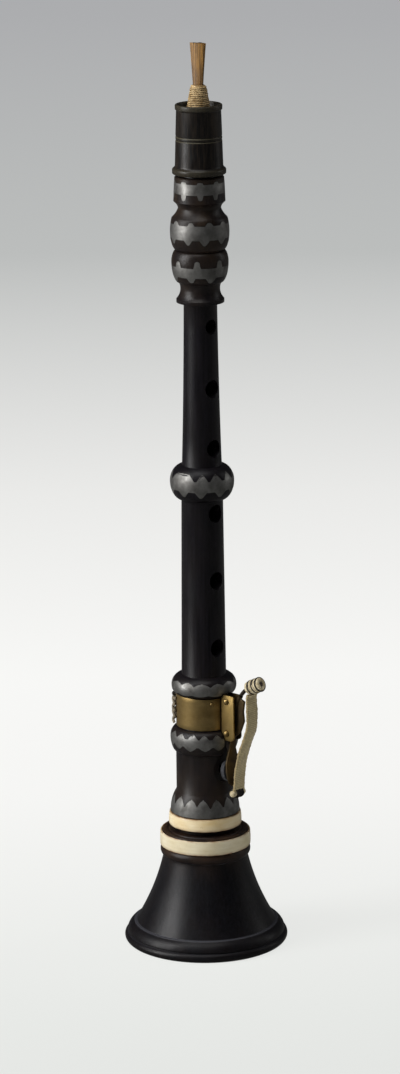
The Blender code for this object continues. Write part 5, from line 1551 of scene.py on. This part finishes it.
@dataclass
class Studio:
    """The pale floor, the soft lamps and the camera of the photograph. Its lengths are in metres."""

    distance: float = 1.75
    height: float = 0.633
    azimuth: float = -41.0
    pitch: float = 14.525
    roll: float = -0.55
    focal_pixels: float = 4251.0
    frame_height: float = 1074.0
    offset: float = -0.0011
    sensor: float = 24.0
    # Painted light falloff on the floor: lightest a little behind the object, greyer further away.
    floor_stops: tuple[tuple[float, str], ...] = (
        (-0.40, "#dfe0de"), (-0.10, "#e8eae7"), (0.20, "#f8f8f6"), (0.40, "#fbfbf9"),
        (0.80, "#f0f0ee"), (1.60, "#c3c5c4"), (3.00, "#b5b6b8"), (4.50, "#adaeb1"),
    )
    shown: float = 0.88
    mirrored: float = 0.15
    aim_height: float = 0.18
    air: str = "#c9ccd0"
    backdrop: str = "#b5b6b8"

    def build(self) -> None:
        """Makes the camera first, then the floor, the lamps and the world."""
        self.camera()
        self.floor()
        self.lamps()
        self.world()
        bpy.context.scene.view_settings.view_transform = "Standard"

    def camera(self) -> None:
        """The camera, on the photograph's side of the object."""
        data = bpy.data.cameras.new("photo_camera")
        data.sensor_fit = "VERTICAL"
        data.sensor_height = self.sensor
        data.lens = self.focal_pixels * self.sensor / self.frame_height
        data.clip_end = 50
        piece = bpy.data.objects.new("photo_camera", data)
        bpy.context.scene.collection.objects.link(piece)
        right = sideways(self.azimuth)
        piece.location = outward(self.azimuth) * self.distance + right * self.offset + AXIS * self.height
        turn = Matrix.Rotation(radians(self.azimuth), 3, "Z")
        for angle, axis in ((90 - self.pitch, "X"), (self.roll, "Z")):
            turn = turn @ Matrix.Rotation(radians(angle), 3, axis)
        piece.rotation_euler = turn.to_euler()
        bpy.context.scene.camera = piece

    def floor(self) -> None:
        """A wide pale floor that glows, painted lightest a little behind the object and greyer further back
        as painted light falloff, and keeps its shadow.
        """
        deselect()
        bpy.ops.mesh.primitive_plane_add(size=30)
        piece = bpy.context.object
        piece.name = piece.data.name = "studio_floor"
        made = bpy.data.materials.new("pale_paper")
        made.use_nodes = True
        made.node_tree.nodes.clear()
        shader = Shader(made.node_tree, made.node_tree.nodes.new("ShaderNodeOutputMaterial"))
        add = shader.add
        behind = add(SHARED_WAY, add(PLACE), tuple(-outward(self.azimuth)))
        colour = shader.ramp(behind, 1.0, self.floor_stops)
        seen = add(TIMES, add(MOST, add(CAMERA_RAY), add(THROUGH_RAY)), self.shown)
        # Painted light: the floor glows to the camera, mixed with lit paper that keeps the shadow.
        open_paper = add(BLEND, seen, add(PAPER, colour), add(GLOW, colour, 1.0))
        both = add(BLEND, add(GLOSSY_RAY), open_paper, add(GLOW, colour, self.mirrored))
        shader.tree.links.new(both, shader.surface.inputs[0])
        piece.data.materials.append(made)

    def lamps(self) -> None:
        """A large soft key on the left, a weaker fill on the right and a soft top light."""
        for name, azimuth, distance, z, size, power in (
            ("left_softbox", self.azimuth - 72, 1.3, 0.75, (0.6, 1.3), 24.0),
            ("right_fill", self.azimuth + 105, 1.6, 0.8, (0.25, 1.2), 2.2),
            ("top_softbox", self.azimuth - 30, 0.5, 1.9, (1.2, 1.2), 12.0),
        ):
            data = bpy.data.lights.new(name, "AREA")
            data.shape = "RECTANGLE"
            data.size, data.size_y = size
            data.energy = power
            lamp = bpy.data.objects.new(name, data)
            bpy.context.scene.collection.objects.link(lamp)
            lamp.location = outward(azimuth) * distance + AXIS * z
            lamp.rotation_euler = (AXIS * self.aim_height - lamp.location).to_track_quat("-Z", "Y").to_euler()

    def world(self) -> None:
        """A plain soft grey all round, darker in reflections, with the backdrop's grey for the camera."""
        world = bpy.data.worlds.new("studio_air")
        bpy.context.scene.world = world
        world.use_nodes = True
        world.node_tree.nodes.clear()
        shader = Shader(world.node_tree, world.node_tree.nodes.new("ShaderNodeOutputWorld"))
        add = shader.add
        lit = add(BLEND, add(GLOSSY_RAY), add(AIR, self.air, 0.19), add(AIR, self.air, 0.05))
        both = add(BLEND, add(CAMERA_RAY), lit, add(AIR, self.backdrop, 1.0))
        shader.tree.links.new(both, shader.surface.inputs[0])


def main() -> None:
    """Builds the studio and every sub-assembly in order."""
    logging.basicConfig(level=logging.INFO, format="%(name)s: %(message)s")
    for part in (Studio(), Bell(), Body(), Cup(), Reed(), Strap(), Key()):
        part.build()


if __name__ == "__main__":
    main()
